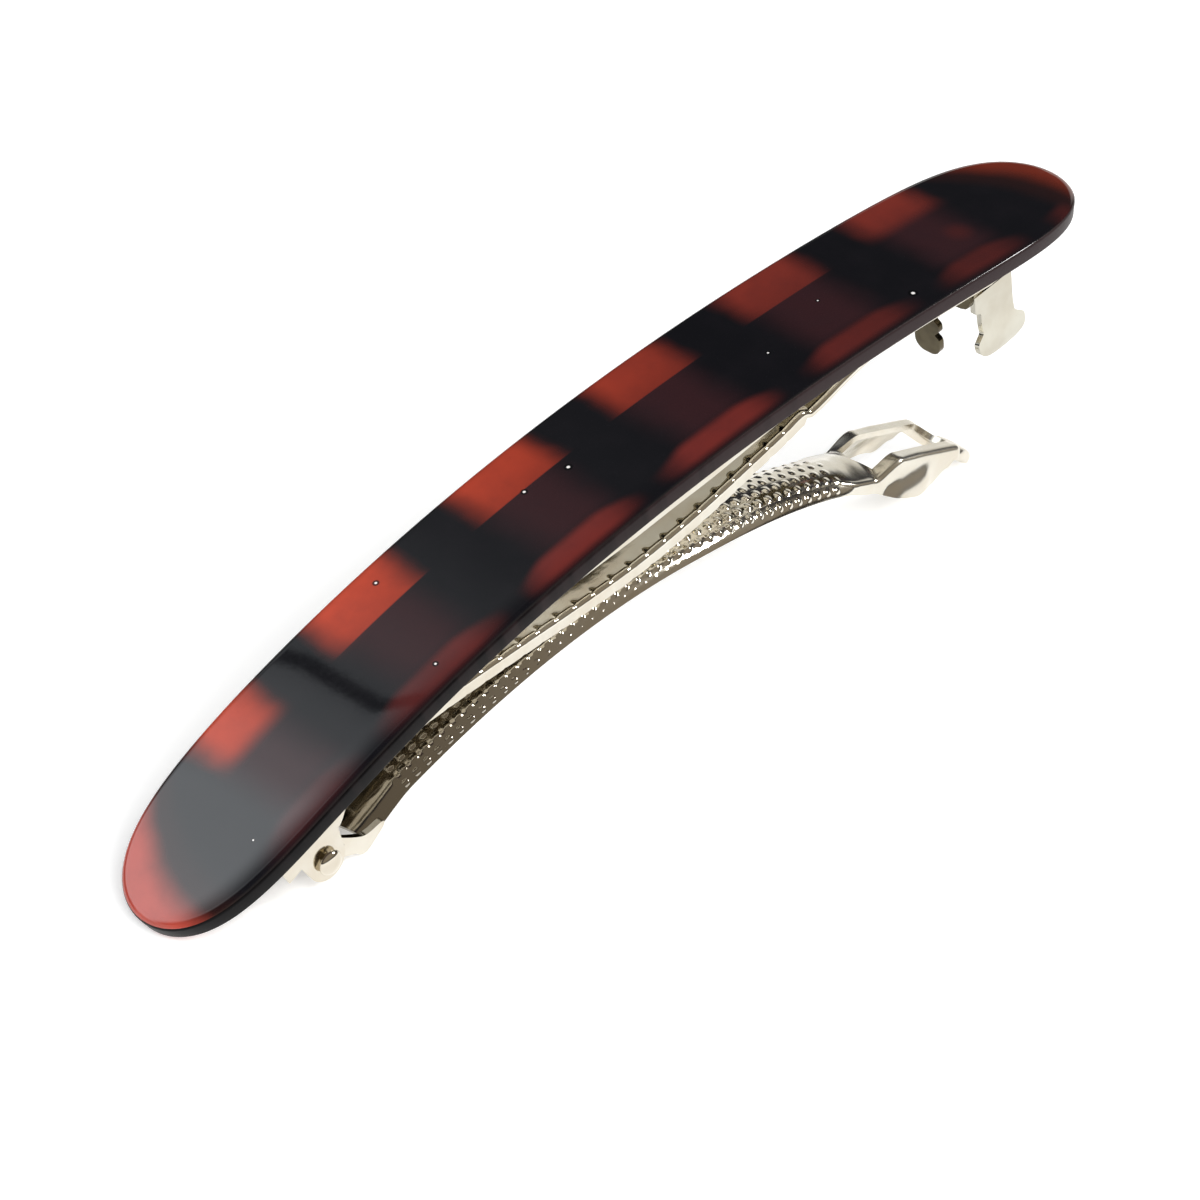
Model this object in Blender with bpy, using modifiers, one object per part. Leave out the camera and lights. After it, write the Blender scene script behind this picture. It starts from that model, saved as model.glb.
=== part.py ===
"""Automatic barrette, open: a curved acetate bar over a sprung metal clasp.

The pieces are modelled in the bar's own frame: +X from the hinge to the catch, +Z out of the
bar's polished face, and the origin in the middle of that face. A parent empty then tips them all
into the posture in which the barrette rests on a table, on its hinge ears and the arm's tip.
"""
import math

import bmesh
import bpy
import numpy
from mathutils import Vector

MM = 0.001
GAP = 0.3 * MM
# Corners nearer to each other than this are one corner
MERGE = 0.001 * MM
# How much longer a cutter is than what it cuts through
CUTTER_SPARE = 2 * MM

# Acetate bar: its length is measured along the curved outer face.
BAR_LENGTH = 100 * MM
BAR_WIDTH = 13.1 * MM
BAR_THICKNESS = 1.6 * MM
BAR_RADIUS = 160 * MM
BAR_STRAIGHT_HALF = 19.5 * MM
BAR_END_POWER = 7.1
BAR_EDGE_ROUNDING = 0.45 * MM
# The bar is bent more at the hinge end than at the catch end
BEND_SLOPE = -0.665
BEND_CURVE = 0.309

# Sheet metal: the clasp's own, and the thinner spring steel of the tension bar
SHEET = 0.5 * MM
LEAF_SHEET = 0.4 * MM

# Base plate: a channel that follows the bar; its depth is that of the sheet's middle
BASE_DEPTH = BAR_THICKNESS + GAP + SHEET / 2
BASE_START = -41.4 * MM
BASE_END = 39.0 * MM
BASE_FIRST_ROW = 1 * MM
BASE_HALF_WIDTH = 5.1 * MM
FOLD_RADIUS = 0.7 * MM
BASE_FLANGE = [
    # (length along the bar, drop of the flange's lower edge)
    (-41.4 * MM, 2.1 * MM),
    (-36.0 * MM, 2.1 * MM),
    (-34.0 * MM, 0.9 * MM),
    (-15.0 * MM, 0.9 * MM),
    (-2.0 * MM, 1.55 * MM),
    (3.5 * MM, 1.55 * MM),
    (14.0 * MM, 0.95 * MM),
    (39.0 * MM, 0.95 * MM),
]

# Hinge: the pin's place in the bar's frame
PIN_X = -36.0 * MM
PIN_Z = -10.5 * MM
PIN_RADIUS = 0.5 * MM
PIN_HEAD_RADIUS = 1.0 * MM
PIN_HEAD_HEIGHT = 0.5 * MM
EAR_RADIUS = 1.8 * MM

# Catch: the cross wall with its toothed hook
CATCH_WALL_X = 34.0 * MM
CATCH_WALL_LOW = -7.9 * MM
CATCH_SHOULDER = 0.3 * MM
HOOK_HALF_WIDTH = 1.3 * MM
HOOK_LOW = -14.0 * MM
HOOK_TIP_RADIUS = 1.0 * MM
HOOK_TIP_ACROSS = 0.6 * MM
HOOK_TEETH_Z = (-10.4 * MM, -11.9 * MM)
HOOK_TOOTH_DEPTH = 0.45 * MM
HOOK_TOOTH_ABOVE = 0.45 * MM
HOOK_TOOTH_BELOW = 0.35 * MM

# Catch: the side ears, each a stem with a paddle flared out below a fold
STEM_ROOT_DROP = 1.0 * MM
STEM_OUTSET = 0.04 * MM
STEM_LEFT = 34.65 * MM
STEM_RIGHT = 38.4 * MM
STEM_FOLD_Z = -10.2 * MM
STEM_FOLD_FLARE = 0.05 * MM
PADDLE_HALF_WIDTH = 2.75 * MM
PADDLE = [
    # (drop below the fold, share of the half width, distance outward)
    (0.4 * MM, 0.9, 0.25 * MM),
    (0.9 * MM, 1.0, 0.4 * MM),
    (1.4 * MM, 0.95, 0.5 * MM),
    (1.9 * MM, 0.8, 0.5 * MM),
    (2.2 * MM, 0.45, 0.5 * MM),
]

# Tension bar, by x: it bows down from the base and back up to it
LEAF_FOLD_RADIUS = 0.3 * MM
LEAF_HEIGHT = [
    # (x, z of the sheet's middle)
    (-31.0 * MM, -6.3 * MM),
    (-22.0 * MM, -6.7 * MM),
    (-14.8 * MM, -7.3 * MM),
    (-8.0 * MM, -7.95 * MM),
    (-2.4 * MM, -8.3 * MM),
    (2.5 * MM, -8.2 * MM),
    (6.0 * MM, -7.95 * MM),
    (10.4 * MM, -7.45 * MM),
    (14.4 * MM, -6.95 * MM),
    (16.2 * MM, -6.65 * MM),
    (17.2 * MM, -7.05 * MM),
    (21.4 * MM, -6.35 * MM),
    (25.0 * MM, -5.9 * MM),
    (31.0 * MM, -5.2 * MM),
]
LEAF_HALF_WIDTH = [
    # (x, half width)
    (-31.0 * MM, 2.2 * MM),
    (-27.0 * MM, 3.2 * MM),
    (24.0 * MM, 3.15 * MM),
    (31.0 * MM, 2.2 * MM),
]
# The flange stops square where the narrow tongue begins
LEAF_TONGUE = (16.1 * MM, 16.6 * MM)
LEAF_FLANGE = [
    # (x, drop of the flange's lower edge)
    (-31.0 * MM, 0.8 * MM),
    (-25.0 * MM, 1.0 * MM),
    (LEAF_TONGUE[0], 1.0 * MM),
    (LEAF_TONGUE[1], 0.4 * MM),
    (31.0 * MM, 0.4 * MM),
]

# Clasp arm: an arc from the hinge to the head, then the head's plane
ARM_RADIUS = 75 * MM
ARM_TOP_X = -12.5 * MM
ARM_TOP_Z = -9.2 * MM
ARM_START_X = -31.9 * MM
# How much the arm's end bows towards the hinge, for each length in from the side
ARM_END_BOW = 0.27
ARM_HEAD_ANGLE = math.radians(27)
HEAD_SLOPE = math.radians(28.5)
LUG_RADIUS = 1.45 * MM
LUG_OUTER = 4.25 * MM
LUG_HEEL = (-32.1 * MM, -12.8 * MM)
LUG_HEEL_RADIUS = 0.75 * MM
LUG_ROOT = [
    # (x, z): where the lug runs into the strip's edge
    (-30.0 * MM, -12.4 * MM),
    (-30.0 * MM, -11.9 * MM),
    (-31.8 * MM, -12.1 * MM),
    (-33.0 * MM, -11.3 * MM),
]
HEAD_LENGTH = 15.3 * MM
TIP_CURL_RADIUS = 3 * MM
TIP_CURL = math.radians(40)
TIP_END = 0.6 * MM
HEAD_ROWS = [
    # lengths from the head's start at which the sheet has a row of corners
    0.8 * MM, 1.6 * MM, 2.4 * MM, 3.1 * MM, 3.8 * MM, 4.5 * MM, 5.3 * MM, 6.3 * MM, 7.6 * MM,
    9.0 * MM, 10.3 * MM, 11.4 * MM, 12.2 * MM, 13.0 * MM, 13.7 * MM, 14.4 * MM, 15.3 * MM,
]
WINDOW_START = 2.3 * MM
WINDOW_CORNER = 3.3 * MM
WINDOW_END = 13.3 * MM
WINDOW_END_CUT = 0.9 * MM
WINDOW_HALF_WIDTH = 1.75 * MM
WINDOW_CUTTER = 8 * MM
# The arm's sections, by length from the head's start (negative is the strip)
ARM_SECTIONS = {
    # each row is (length, half width of the sheet)
    "half_width": [
        (-54.7 * MM, 3.9 * MM),
        (-49.5 * MM, 3.4 * MM),
        (-20.0 * MM, 3.15 * MM),
        (-2.0 * MM, 2.6 * MM),
        (2.5 * MM, 2.65 * MM),
        (5.4 * MM, 2.8 * MM),
        (12.6 * MM, 2.8 * MM),
        (14.6 * MM, 1.6 * MM),
        (16.5 * MM, 1.4 * MM),
        (18.9 * MM, 0.9 * MM),
    ],
    # each row is (length, rise of the sheet's middle)
    "middle": [
        (0.5 * MM, 0),
        (2.4 * MM, 0.1 * MM),
        (5.6 * MM, 1.0 * MM),
        (12.2 * MM, 1.1 * MM),
        (15.0 * MM, 0),
    ],
    # each row is (length, rise of the fold along each side)
    "edge": [
        (2.7 * MM, -0.8 * MM),
        (5.6 * MM, 1.0 * MM),
        (8.4 * MM, 1.15 * MM),
        (12.6 * MM, 1.2 * MM),
        (15.0 * MM, -0.1 * MM),
    ],
    # each row is (length, rise of the lower edge): a lip along the strip, then the finger wings
    "low": [
        (-0.5 * MM, -1.35 * MM),
        (2.4 * MM, -1.5 * MM),
        (5.0 * MM, -1.9 * MM),
        (7.1 * MM, -1.9 * MM),
        (9.4 * MM, -1.35 * MM),
        (11.4 * MM, -0.3 * MM),
        (12.4 * MM, 0.3 * MM),
        (14.8 * MM, -0.65 * MM),
    ],
}
WING_FLARE = 0.16
# Where a section has its corners: shares of the half width, then shares of the way down
TOP_SHARES = (0.15, 0.4, 0.7, 1)
WING_SHARES = (0.5, 1)

COLOURS = {
    "acetate": ((0.035, 0.022, 0.028, 1), 0.12, 0.0),
    "nickel": ((0.62, 0.58, 0.50, 1), 0.16, 1.0),
}


def smooth(rows, at):
    """Read a table of (place, value) rows with an easy curve between them."""
    if at <= rows[0][0]:
        return rows[0][1]
    for (a, low), (b, high) in zip(rows, rows[1:]):
        if at <= b:
            share = (at - a) / (b - a)
            return low + (high - low) * share * share * (3 - 2 * share)
    return rows[-1][1]


def curved(rows, at):
    """Read a table of (place, value) rows along a Catmull-Rom curve through them."""
    places = [row[0] for row in rows]
    values = [row[1] for row in rows]
    index = min(max(sum(place <= at for place in places) - 1, 0), len(rows) - 2)

    def rise(i):
        low = max(i - 1, 0)
        high = min(i + 1, len(rows) - 1)
        return (values[high] - values[low]) / (places[high] - places[low])

    width = places[index + 1] - places[index]
    t = (at - places[index]) / width
    return (
        values[index] * (1 + 2 * t) * (1 - t) ** 2
        + rise(index) * width * t * (1 - t) ** 2
        + values[index + 1] * t * t * (3 - 2 * t)
        + rise(index + 1) * width * t * t * (t - 1)
    )


def bar_slope(along):
    """The angle by which the bar has turned down at a length along its outer face."""
    half = BAR_LENGTH / 2
    u = along / half
    turned = u + BEND_SLOPE * u * u / 2 + BEND_CURVE * (u ** 3 - u) / 3
    return turned * half / BAR_RADIUS


def bar_curve(steps=400):
    """Points of the outer face's curve, found by adding up short straight steps."""
    half = BAR_LENGTH / 2
    lengths = numpy.linspace(-half, half, steps + 1)
    middles = (lengths[1:] + lengths[:-1]) / 2
    slopes = numpy.array([bar_slope(length) for length in middles])
    step = lengths[1] - lengths[0]
    xs = numpy.concatenate([[0], numpy.cumsum(numpy.cos(slopes) * step)])
    zs = numpy.concatenate([[0], numpy.cumsum(-numpy.sin(slopes) * step)])
    xs -= numpy.interp(0, lengths, xs)
    zs -= numpy.interp(0, lengths, zs)
    return lengths, xs, zs


BAR_CURVE = bar_curve()


def under_bar(along, across, depth):
    """The point at a length along the bar, a distance across it and a depth below its face."""
    lengths, xs, zs = BAR_CURVE
    slope = bar_slope(along)
    x = numpy.interp(along, lengths, xs) - math.sin(slope) * depth
    z = numpy.interp(along, lengths, zs) - math.cos(slope) * depth
    return Vector((float(x), across, float(z)))


def along_and_depth(x, z):
    """Where a point of the side view lies along the bar, and how deep under its face."""
    along = x
    for _ in range(20):
        foot = under_bar(along, 0, 0)
        slope = bar_slope(along)
        along += (x - foot.x) * math.cos(slope) - (z - foot.z) * math.sin(slope)
    foot = under_bar(along, 0, 0)
    return along, math.hypot(x - foot.x, z - foot.z)


def bar_half_width(along):
    """Half the bar's width: parallel sides, then a round end."""
    half = BAR_LENGTH / 2
    reach = (abs(along) - BAR_STRAIGHT_HALF) / (half - BAR_STRAIGHT_HALF)
    reach = min(max(reach, 0), 1)
    return BAR_WIDTH / 2 * math.sqrt(1 - reach ** BAR_END_POWER)


def material(name):
    colour, roughness, metallic = COLOURS[name]
    made = bpy.data.materials.get(name) or bpy.data.materials.new(name)
    made.use_nodes = True
    shader = made.node_tree.nodes["Principled BSDF"]
    shader.inputs["Base Color"].default_value = colour
    shader.inputs["Roughness"].default_value = roughness
    shader.inputs["Metallic"].default_value = metallic
    return made


def add_object(name, mesh, collection, finish=None):
    piece = bpy.data.objects.new(name, mesh)
    collection.objects.link(piece)
    if finish:
        mesh.materials.append(material(finish))
    return piece


def grid_object(name, rows, columns, place, collection, finish):
    """An open surface: a grid whose corners are put by place(row, column)."""
    bm = bmesh.new()
    bmesh.ops.create_grid(bm, x_segments=rows, y_segments=columns, size=1)
    for corner in bm.verts:
        row = round((corner.co.x + 1) / 2 * rows)
        column = round((corner.co.y + 1) / 2 * columns)
        corner.co = place(row, column)
    bmesh.ops.remove_doubles(bm, verts=bm.verts, dist=MERGE)
    mesh = bpy.data.meshes.new(name)
    bm.to_mesh(mesh)
    bm.free()
    return add_object(name, mesh, collection, finish)


def apply_modifiers(piece):
    """Turn the piece as it shows, with its modifiers, into its mesh."""
    bpy.context.view_layer.update()
    graph = bpy.context.evaluated_depsgraph_get()
    mesh = bpy.data.meshes.new_from_object(piece.evaluated_get(graph))
    piece.modifiers.clear()
    old = piece.data
    piece.data = mesh
    bpy.data.meshes.remove(old)
    mesh.name = piece.name
    return piece


def face_outward(mesh):
    """Turn a closed mesh's faces so that they all point out of it."""
    bm = bmesh.new()
    bm.from_mesh(mesh)
    bmesh.ops.recalc_face_normals(bm, faces=bm.faces)
    if bm.calc_volume(signed=True) < 0:
        bmesh.ops.reverse_faces(bm, faces=bm.faces)
    bm.to_mesh(mesh)
    bm.free()


def thicken(piece, thickness, offset=0.0):
    """Give an open surface its thickness, and keep it as a closed mesh."""
    solid = piece.modifiers.new("thickness", "SOLIDIFY")
    solid.thickness = thickness
    solid.offset = offset
    solid.use_even_offset = True
    apply_modifiers(piece)
    face_outward(piece.data)
    return piece


def plate(name, outline, thickness, to_space, collection, finish=None):
    """A flat outline with a thickness; to_space puts (right, up, out) into the frame."""
    curve = bpy.data.curves.new(name, "CURVE")
    curve.dimensions = "2D"
    curve.fill_mode = "BOTH"
    curve.extrude = thickness / 2
    line = curve.splines.new("POLY")
    line.points.add(len(outline) - 1)
    for point, (right, up) in zip(line.points, outline):
        point.co = (right, up, 0, 1)
    line.use_cyclic_u = True
    flat = bpy.data.objects.new(name, curve)
    collection.objects.link(flat)
    bpy.context.view_layer.update()
    graph = bpy.context.evaluated_depsgraph_get()
    mesh = bpy.data.meshes.new_from_object(flat.evaluated_get(graph))
    bpy.data.objects.remove(flat)
    bpy.data.curves.remove(curve)
    bm = bmesh.new()
    bm.from_mesh(mesh)
    bmesh.ops.remove_doubles(bm, verts=bm.verts, dist=MERGE)
    for corner in bm.verts:
        corner.co = to_space(*corner.co)
    bm.to_mesh(mesh)
    bm.free()
    face_outward(mesh)
    mesh.name = name
    return add_object(name, mesh, collection, finish)


def combine(piece, others, operation):
    """Join the others to the piece or cut them out of it, then drop them."""
    for other in others:
        boolean = piece.modifiers.new(operation.lower(), "BOOLEAN")
        boolean.operation = operation
        boolean.object = other
        apply_modifiers(piece)
        mesh = other.data
        bpy.data.objects.remove(other)
        bpy.data.meshes.remove(mesh)
    return piece


def arc_points(centre, radius, start, end, steps):
    """Points of an arc, from one angle in degrees to another."""
    for step in range(steps + 1):
        angle = math.radians(start + (end - start) * step / steps)
        yield (centre[0] + radius * math.cos(angle), centre[1] + radius * math.sin(angle))


def side_plate_space(across):
    """Puts a plate's outline (x, z) upright, at a distance across the bar."""
    return lambda right, up, out: Vector((right, across + out, up))


def channel_profile(half_width, drop, fold_radius):
    """Half a channel's section, from near the middle to the lower edge: (across, down) pairs."""
    inner = half_width - fold_radius
    section = [(inner / 3, 0), (inner, 0)]
    for angle in (30, 60, 90):
        turn = math.radians(angle)
        across = inner + fold_radius * math.sin(turn)
        section.append((across, fold_radius * (1 - math.cos(turn))))
    section.append((half_width, drop))
    return section


def mirrored(section):
    """A whole section from its half, from one edge to the other."""
    return [(-across, down) for across, down in reversed(section)] + section


def make_acetate_bar(parts):
    end_rows = 9
    half = BAR_LENGTH / 2
    ends = [
        BAR_STRAIGHT_HALF + (half - BAR_STRAIGHT_HALF) * math.sin(math.pi / 2 * i / end_rows)
        for i in range(1, end_rows + 1)
    ]
    middle = numpy.linspace(-BAR_STRAIGHT_HALF, BAR_STRAIGHT_HALF, 9).tolist()
    rows = [-end for end in reversed(ends)] + middle + ends
    columns = 6

    def place(row, column):
        across = bar_half_width(rows[row]) * (2 * column / columns - 1)
        return under_bar(rows[row], across, 0)

    bar = grid_object("acetate_bar", len(rows) - 1, columns, place, parts, "acetate")
    thicken(bar, BAR_THICKNESS, -1)
    rounding = bar.modifiers.new("edge_rounding", "BEVEL")
    rounding.width = BAR_EDGE_ROUNDING
    rounding.segments = 2
    rounding.limit_method = "ANGLE"
    rounding.angle_limit = math.radians(40)
    return bar


def ear_depth(along):
    """How deep the base's flange hangs: an even edge, and a round ear about the pin."""
    even = BASE_DEPTH + smooth(BASE_FLANGE, along)
    pin_along, pin_depth = along_and_depth(PIN_X, PIN_Z)
    away = along - pin_along
    if abs(away) >= EAR_RADIUS:
        return even
    return max(even, pin_depth + math.sqrt(EAR_RADIUS ** 2 - away ** 2))


def make_base_channel(parts):
    pin_along, _ = along_and_depth(PIN_X, PIN_Z)
    ear = [pin_along + EAR_RADIUS * math.sin(math.radians(a)) for a in range(-90, 91, 15)]
    middle = numpy.linspace(pin_along + EAR_RADIUS + BASE_FIRST_ROW, BASE_END, 18).tolist()
    rows = [BASE_START] + ear + middle
    sheet_half = BASE_HALF_WIDTH - SHEET / 2
    columns = len(mirrored(channel_profile(sheet_half, 1, FOLD_RADIUS))) - 1

    def place(row, column):
        along = rows[row]
        drop = ear_depth(along) - BASE_DEPTH
        across, down = mirrored(channel_profile(sheet_half, drop, FOLD_RADIUS))[column]
        return under_bar(along, across, BASE_DEPTH + down)

    channel = grid_object("base_plate", len(rows) - 1, columns, place, parts, "nickel")
    return thicken(channel, SHEET)


def catch_wall_outline():
    """The cross wall with the toothed hook below it, as (across, z) points."""
    side = BASE_HALF_WIDTH - SHEET / 2
    top = under_bar(CATCH_WALL_X, 0, BASE_DEPTH).z
    half = [(side, top), (side, CATCH_WALL_LOW + CATCH_SHOULDER)]
    half.append((HOOK_HALF_WIDTH, CATCH_WALL_LOW))
    for tooth in HOOK_TEETH_Z:
        half.append((HOOK_HALF_WIDTH, tooth + HOOK_TOOTH_ABOVE))
        half.append((HOOK_HALF_WIDTH - HOOK_TOOTH_DEPTH, tooth))
        half.append((HOOK_HALF_WIDTH, tooth - HOOK_TOOTH_BELOW))
    tip = (HOOK_TIP_ACROSS, HOOK_LOW + HOOK_TIP_RADIUS)
    half += list(arc_points(tip, HOOK_TIP_RADIUS, 0, -90, 3))
    return half + [(-across, z) for across, z in reversed(half)]


def make_catch_ear(parts, side):
    """A side ear: a stem that hangs from the flange, and a paddle flared out below a fold."""
    middle = (STEM_LEFT + STEM_RIGHT) / 2
    plane = BASE_HALF_WIDTH - SHEET / 2 + STEM_OUTSET
    top = under_bar(middle, 0, BASE_DEPTH + STEM_ROOT_DROP).z
    rows = [
        # (z, left edge, right edge, outward)
        (top, CATCH_WALL_X, STEM_RIGHT, 0),
        (CATCH_WALL_LOW, CATCH_WALL_X, STEM_RIGHT, 0),
        (CATCH_WALL_LOW - CATCH_SHOULDER, STEM_LEFT, STEM_RIGHT, 0),
        (STEM_FOLD_Z, STEM_LEFT, STEM_RIGHT, STEM_FOLD_FLARE),
    ]
    for drop, share, outward in PADDLE:
        reach = PADDLE_HALF_WIDTH * share
        rows.append((STEM_FOLD_Z - drop, middle - reach, middle + reach, outward))
    columns = 4

    def place(row, column):
        z, left, right, outward = rows[row]
        x = left + (right - left) * column / columns
        return Vector((x, side * (plane + outward), z))

    name = "catch_ear_near" if side < 0 else "catch_ear_far"
    ear = grid_object(name, len(rows) - 1, columns, place, parts, "nickel")
    return thicken(ear, SHEET)


def pin_hole(name, parts, radius, length):
    """A cutter across the bar, on the pin's axis."""
    outline = list(arc_points((PIN_X, PIN_Z), radius, 0, 345, 23))
    return plate(name, outline, length, side_plate_space(0), parts)


def make_base_plate(parts):
    base = make_base_channel(parts)
    wall = plate(
        "catch_wall",
        catch_wall_outline(),
        SHEET,
        lambda right, up, out: Vector((CATCH_WALL_X + out, right, up)),
        parts,
        "nickel",
    )
    ears = [make_catch_ear(parts, side) for side in (-1, 1)]
    combine(base, [wall] + ears, "UNION")
    hole = pin_hole("ear_holes", parts, PIN_RADIUS + GAP, 2 * BASE_HALF_WIDTH + CUTTER_SPARE)
    return combine(base, [hole], "DIFFERENCE")


def make_tension_bar(parts):
    even = numpy.linspace(LEAF_HEIGHT[0][0], LEAF_HEIGHT[-1][0], 33).tolist()
    rows = sorted(even + list(LEAF_TONGUE))
    columns = len(mirrored(channel_profile(1, 1, LEAF_FOLD_RADIUS))) - 1

    def place(row, column):
        x = rows[row]
        half_width, drop = smooth(LEAF_HALF_WIDTH, x), smooth(LEAF_FLANGE, x)
        section = channel_profile(half_width, drop, LEAF_FOLD_RADIUS)
        across, down = mirrored(section)[column]
        return Vector((x, across, curved(LEAF_HEIGHT, x) - down))

    leaf = grid_object("tension_bar", len(rows) - 1, columns, place, parts, "nickel")
    return thicken(leaf, LEAF_SHEET)


def arm_line(length):
    """Middle line of the arm in the side view: its point and the angle it slopes down."""
    start = math.asin((ARM_START_X - ARM_TOP_X) / ARM_RADIUS)
    arc = (ARM_HEAD_ANGLE - start) * ARM_RADIUS
    centre_z = ARM_TOP_Z - ARM_RADIUS
    turned = min(start + length / ARM_RADIUS, ARM_HEAD_ANGLE)
    x = ARM_TOP_X + ARM_RADIUS * math.sin(turned)
    z = centre_z + ARM_RADIUS * math.cos(turned)
    beyond = length - arc
    if beyond <= 0:
        return x, z, turned
    flat = min(beyond, HEAD_LENGTH)
    x += flat * math.cos(HEAD_SLOPE)
    z -= flat * math.sin(HEAD_SLOPE)
    beyond -= flat
    if beyond <= 0:
        return x, z, HEAD_SLOPE
    curl = min(beyond / TIP_CURL_RADIUS, TIP_CURL)
    x += TIP_CURL_RADIUS * (math.sin(HEAD_SLOPE + curl) - math.sin(HEAD_SLOPE))
    z -= TIP_CURL_RADIUS * (math.cos(HEAD_SLOPE) - math.cos(HEAD_SLOPE + curl))
    straight = beyond - curl * TIP_CURL_RADIUS
    x += straight * math.cos(HEAD_SLOPE + curl)
    z -= straight * math.sin(HEAD_SLOPE + curl)
    return x, z, HEAD_SLOPE + curl


def arm_strip_length():
    start = math.asin((ARM_START_X - ARM_TOP_X) / ARM_RADIUS)
    return (ARM_HEAD_ANGLE - start) * ARM_RADIUS


def arm_point(length, across, rise):
    """A point of the arm: a length along it, a distance across it, a rise off its line."""
    x, z, slope = arm_line(length)
    return Vector((x + rise * math.sin(slope), across, z + rise * math.cos(slope)))


def arm_section(from_head):
    """A section of the arm from one lower edge to the other, as (across, rise) pairs."""
    half_width = smooth(ARM_SECTIONS["half_width"], from_head)
    middle = smooth(ARM_SECTIONS["middle"], from_head)
    edge = smooth(ARM_SECTIONS["edge"], from_head)
    low = smooth(ARM_SECTIONS["low"], from_head)
    half = []
    for share in TOP_SHARES:
        half.append((half_width * share, middle + (edge - middle) * share ** 2))
    for share in WING_SHARES:
        hang = (edge - low) * share
        half.append((half_width + hang * WING_FLARE, edge - hang))
    return mirrored(half)


def make_arm_sheet(parts):
    strip = arm_strip_length()
    strip_rows = numpy.linspace(-strip, 0, 20).tolist()
    curl_length = TIP_CURL * TIP_CURL_RADIUS
    tip_rows = [HEAD_LENGTH + curl_length * share for share in (0.33, 0.67, 1)]
    tip_rows += [HEAD_LENGTH + curl_length + TIP_END * share for share in (0.6, 1)]
    rows = strip_rows + HEAD_ROWS + tip_rows
    columns = len(arm_section(0)) - 1

    def place(row, column):
        across, rise = arm_section(rows[row])[column]
        inward = max(ARM_SECTIONS["half_width"][0][1] - abs(across), 0)
        bow = ARM_END_BOW * inward if row == 0 else 0
        return arm_point(strip + rows[row] - bow, across, rise)

    sheet = grid_object("clasp_arm", len(rows) - 1, columns, place, parts, "nickel")
    return thicken(sheet, SHEET)


def lug_outline():
    """A lug of the arm: round about the pin, running into the strip's edge, as (x, z)."""
    outline = list(arc_points((PIN_X, PIN_Z), LUG_RADIUS, 70, 300, 9))
    outline += list(arc_points(LUG_HEEL, LUG_HEEL_RADIUS, 200, 300, 3))
    return outline + LUG_ROOT


def window_outline():
    """The head's window, pointed towards the hinge, as (length from the head's start, across)."""
    half = [(WINDOW_START, 0), (WINDOW_CORNER, WINDOW_HALF_WIDTH)]
    half.append((WINDOW_END - WINDOW_END_CUT, WINDOW_HALF_WIDTH))
    half.append((WINDOW_END, WINDOW_HALF_WIDTH - WINDOW_END_CUT))
    return half + [(length, -across) for length, across in reversed(half[1:])]


def make_clasp_arm(parts):
    arm = make_arm_sheet(parts)
    strip = arm_strip_length()
    lug_middle = LUG_OUTER - SHEET / 2
    lugs = [
        plate(name, lug_outline(), SHEET, side_plate_space(across), parts, "nickel")
        for name, across in (("lug_near", -lug_middle), ("lug_far", lug_middle))
    ]
    combine(arm, lugs, "UNION")

    def through_head(right, up, out):
        x, z, _ = arm_line(strip)
        return Vector((
            x + right * math.cos(HEAD_SLOPE) + out * math.sin(HEAD_SLOPE),
            up,
            z - right * math.sin(HEAD_SLOPE) + out * math.cos(HEAD_SLOPE),
        ))

    window = plate("window", window_outline(), WINDOW_CUTTER, through_head, parts)
    hole = pin_hole("lug_holes", parts, PIN_RADIUS + GAP, 2 * LUG_OUTER + CUTTER_SPARE)
    combine(arm, [window, hole], "DIFFERENCE")
    pin = Vector((PIN_X, 0, PIN_Z))
    for corner in arm.data.vertices:
        corner.co -= pin
    arm.location = pin
    return arm


def make_hinge_pin(parts):
    """A rivet turned about the hinge's axis, with a dome at each end."""
    shoulder = BASE_HALF_WIDTH + GAP
    dome = [
        (PIN_HEAD_RADIUS * math.cos(math.radians(a)), PIN_HEAD_HEIGHT * math.sin(math.radians(a)))
        for a in (90, 60, 30, 0)
    ]
    upper = [(radius, shoulder + height) for radius, height in dome]
    upper[0] = (0, upper[0][1])
    upper.append((PIN_RADIUS, shoulder))
    profile = upper + [(radius, -height) for radius, height in reversed(upper)]
    bm = bmesh.new()
    corners = [bm.verts.new((radius, 0, height)) for radius, height in profile]
    for a, b in zip(corners, corners[1:]):
        bm.edges.new((a, b))
    mesh = bpy.data.meshes.new("hinge_pin")
    bm.to_mesh(mesh)
    bm.free()
    pin = add_object("hinge_pin", mesh, parts, "nickel")
    screw = pin.modifiers.new("turned", "SCREW")
    screw.steps = 16
    screw.render_steps = 16
    screw.use_merge_vertices = True
    screw.merge_threshold = MERGE
    pin.rotation_euler.x = math.radians(90)
    pin.location = (PIN_X, 0, PIN_Z)
    return pin


def side_view_points(pieces, frame):
    """The pieces' corners in the bar's frame, as (x, y, z)."""
    bpy.context.view_layer.update()
    graph = bpy.context.evaluated_depsgraph_get()
    to_frame = frame.matrix_world.inverted()
    points = []
    for piece in pieces:
        mesh = piece.evaluated_get(graph).to_mesh()
        points += [to_frame @ piece.matrix_world @ corner.co for corner in mesh.vertices]
    return numpy.array(points)


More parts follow.
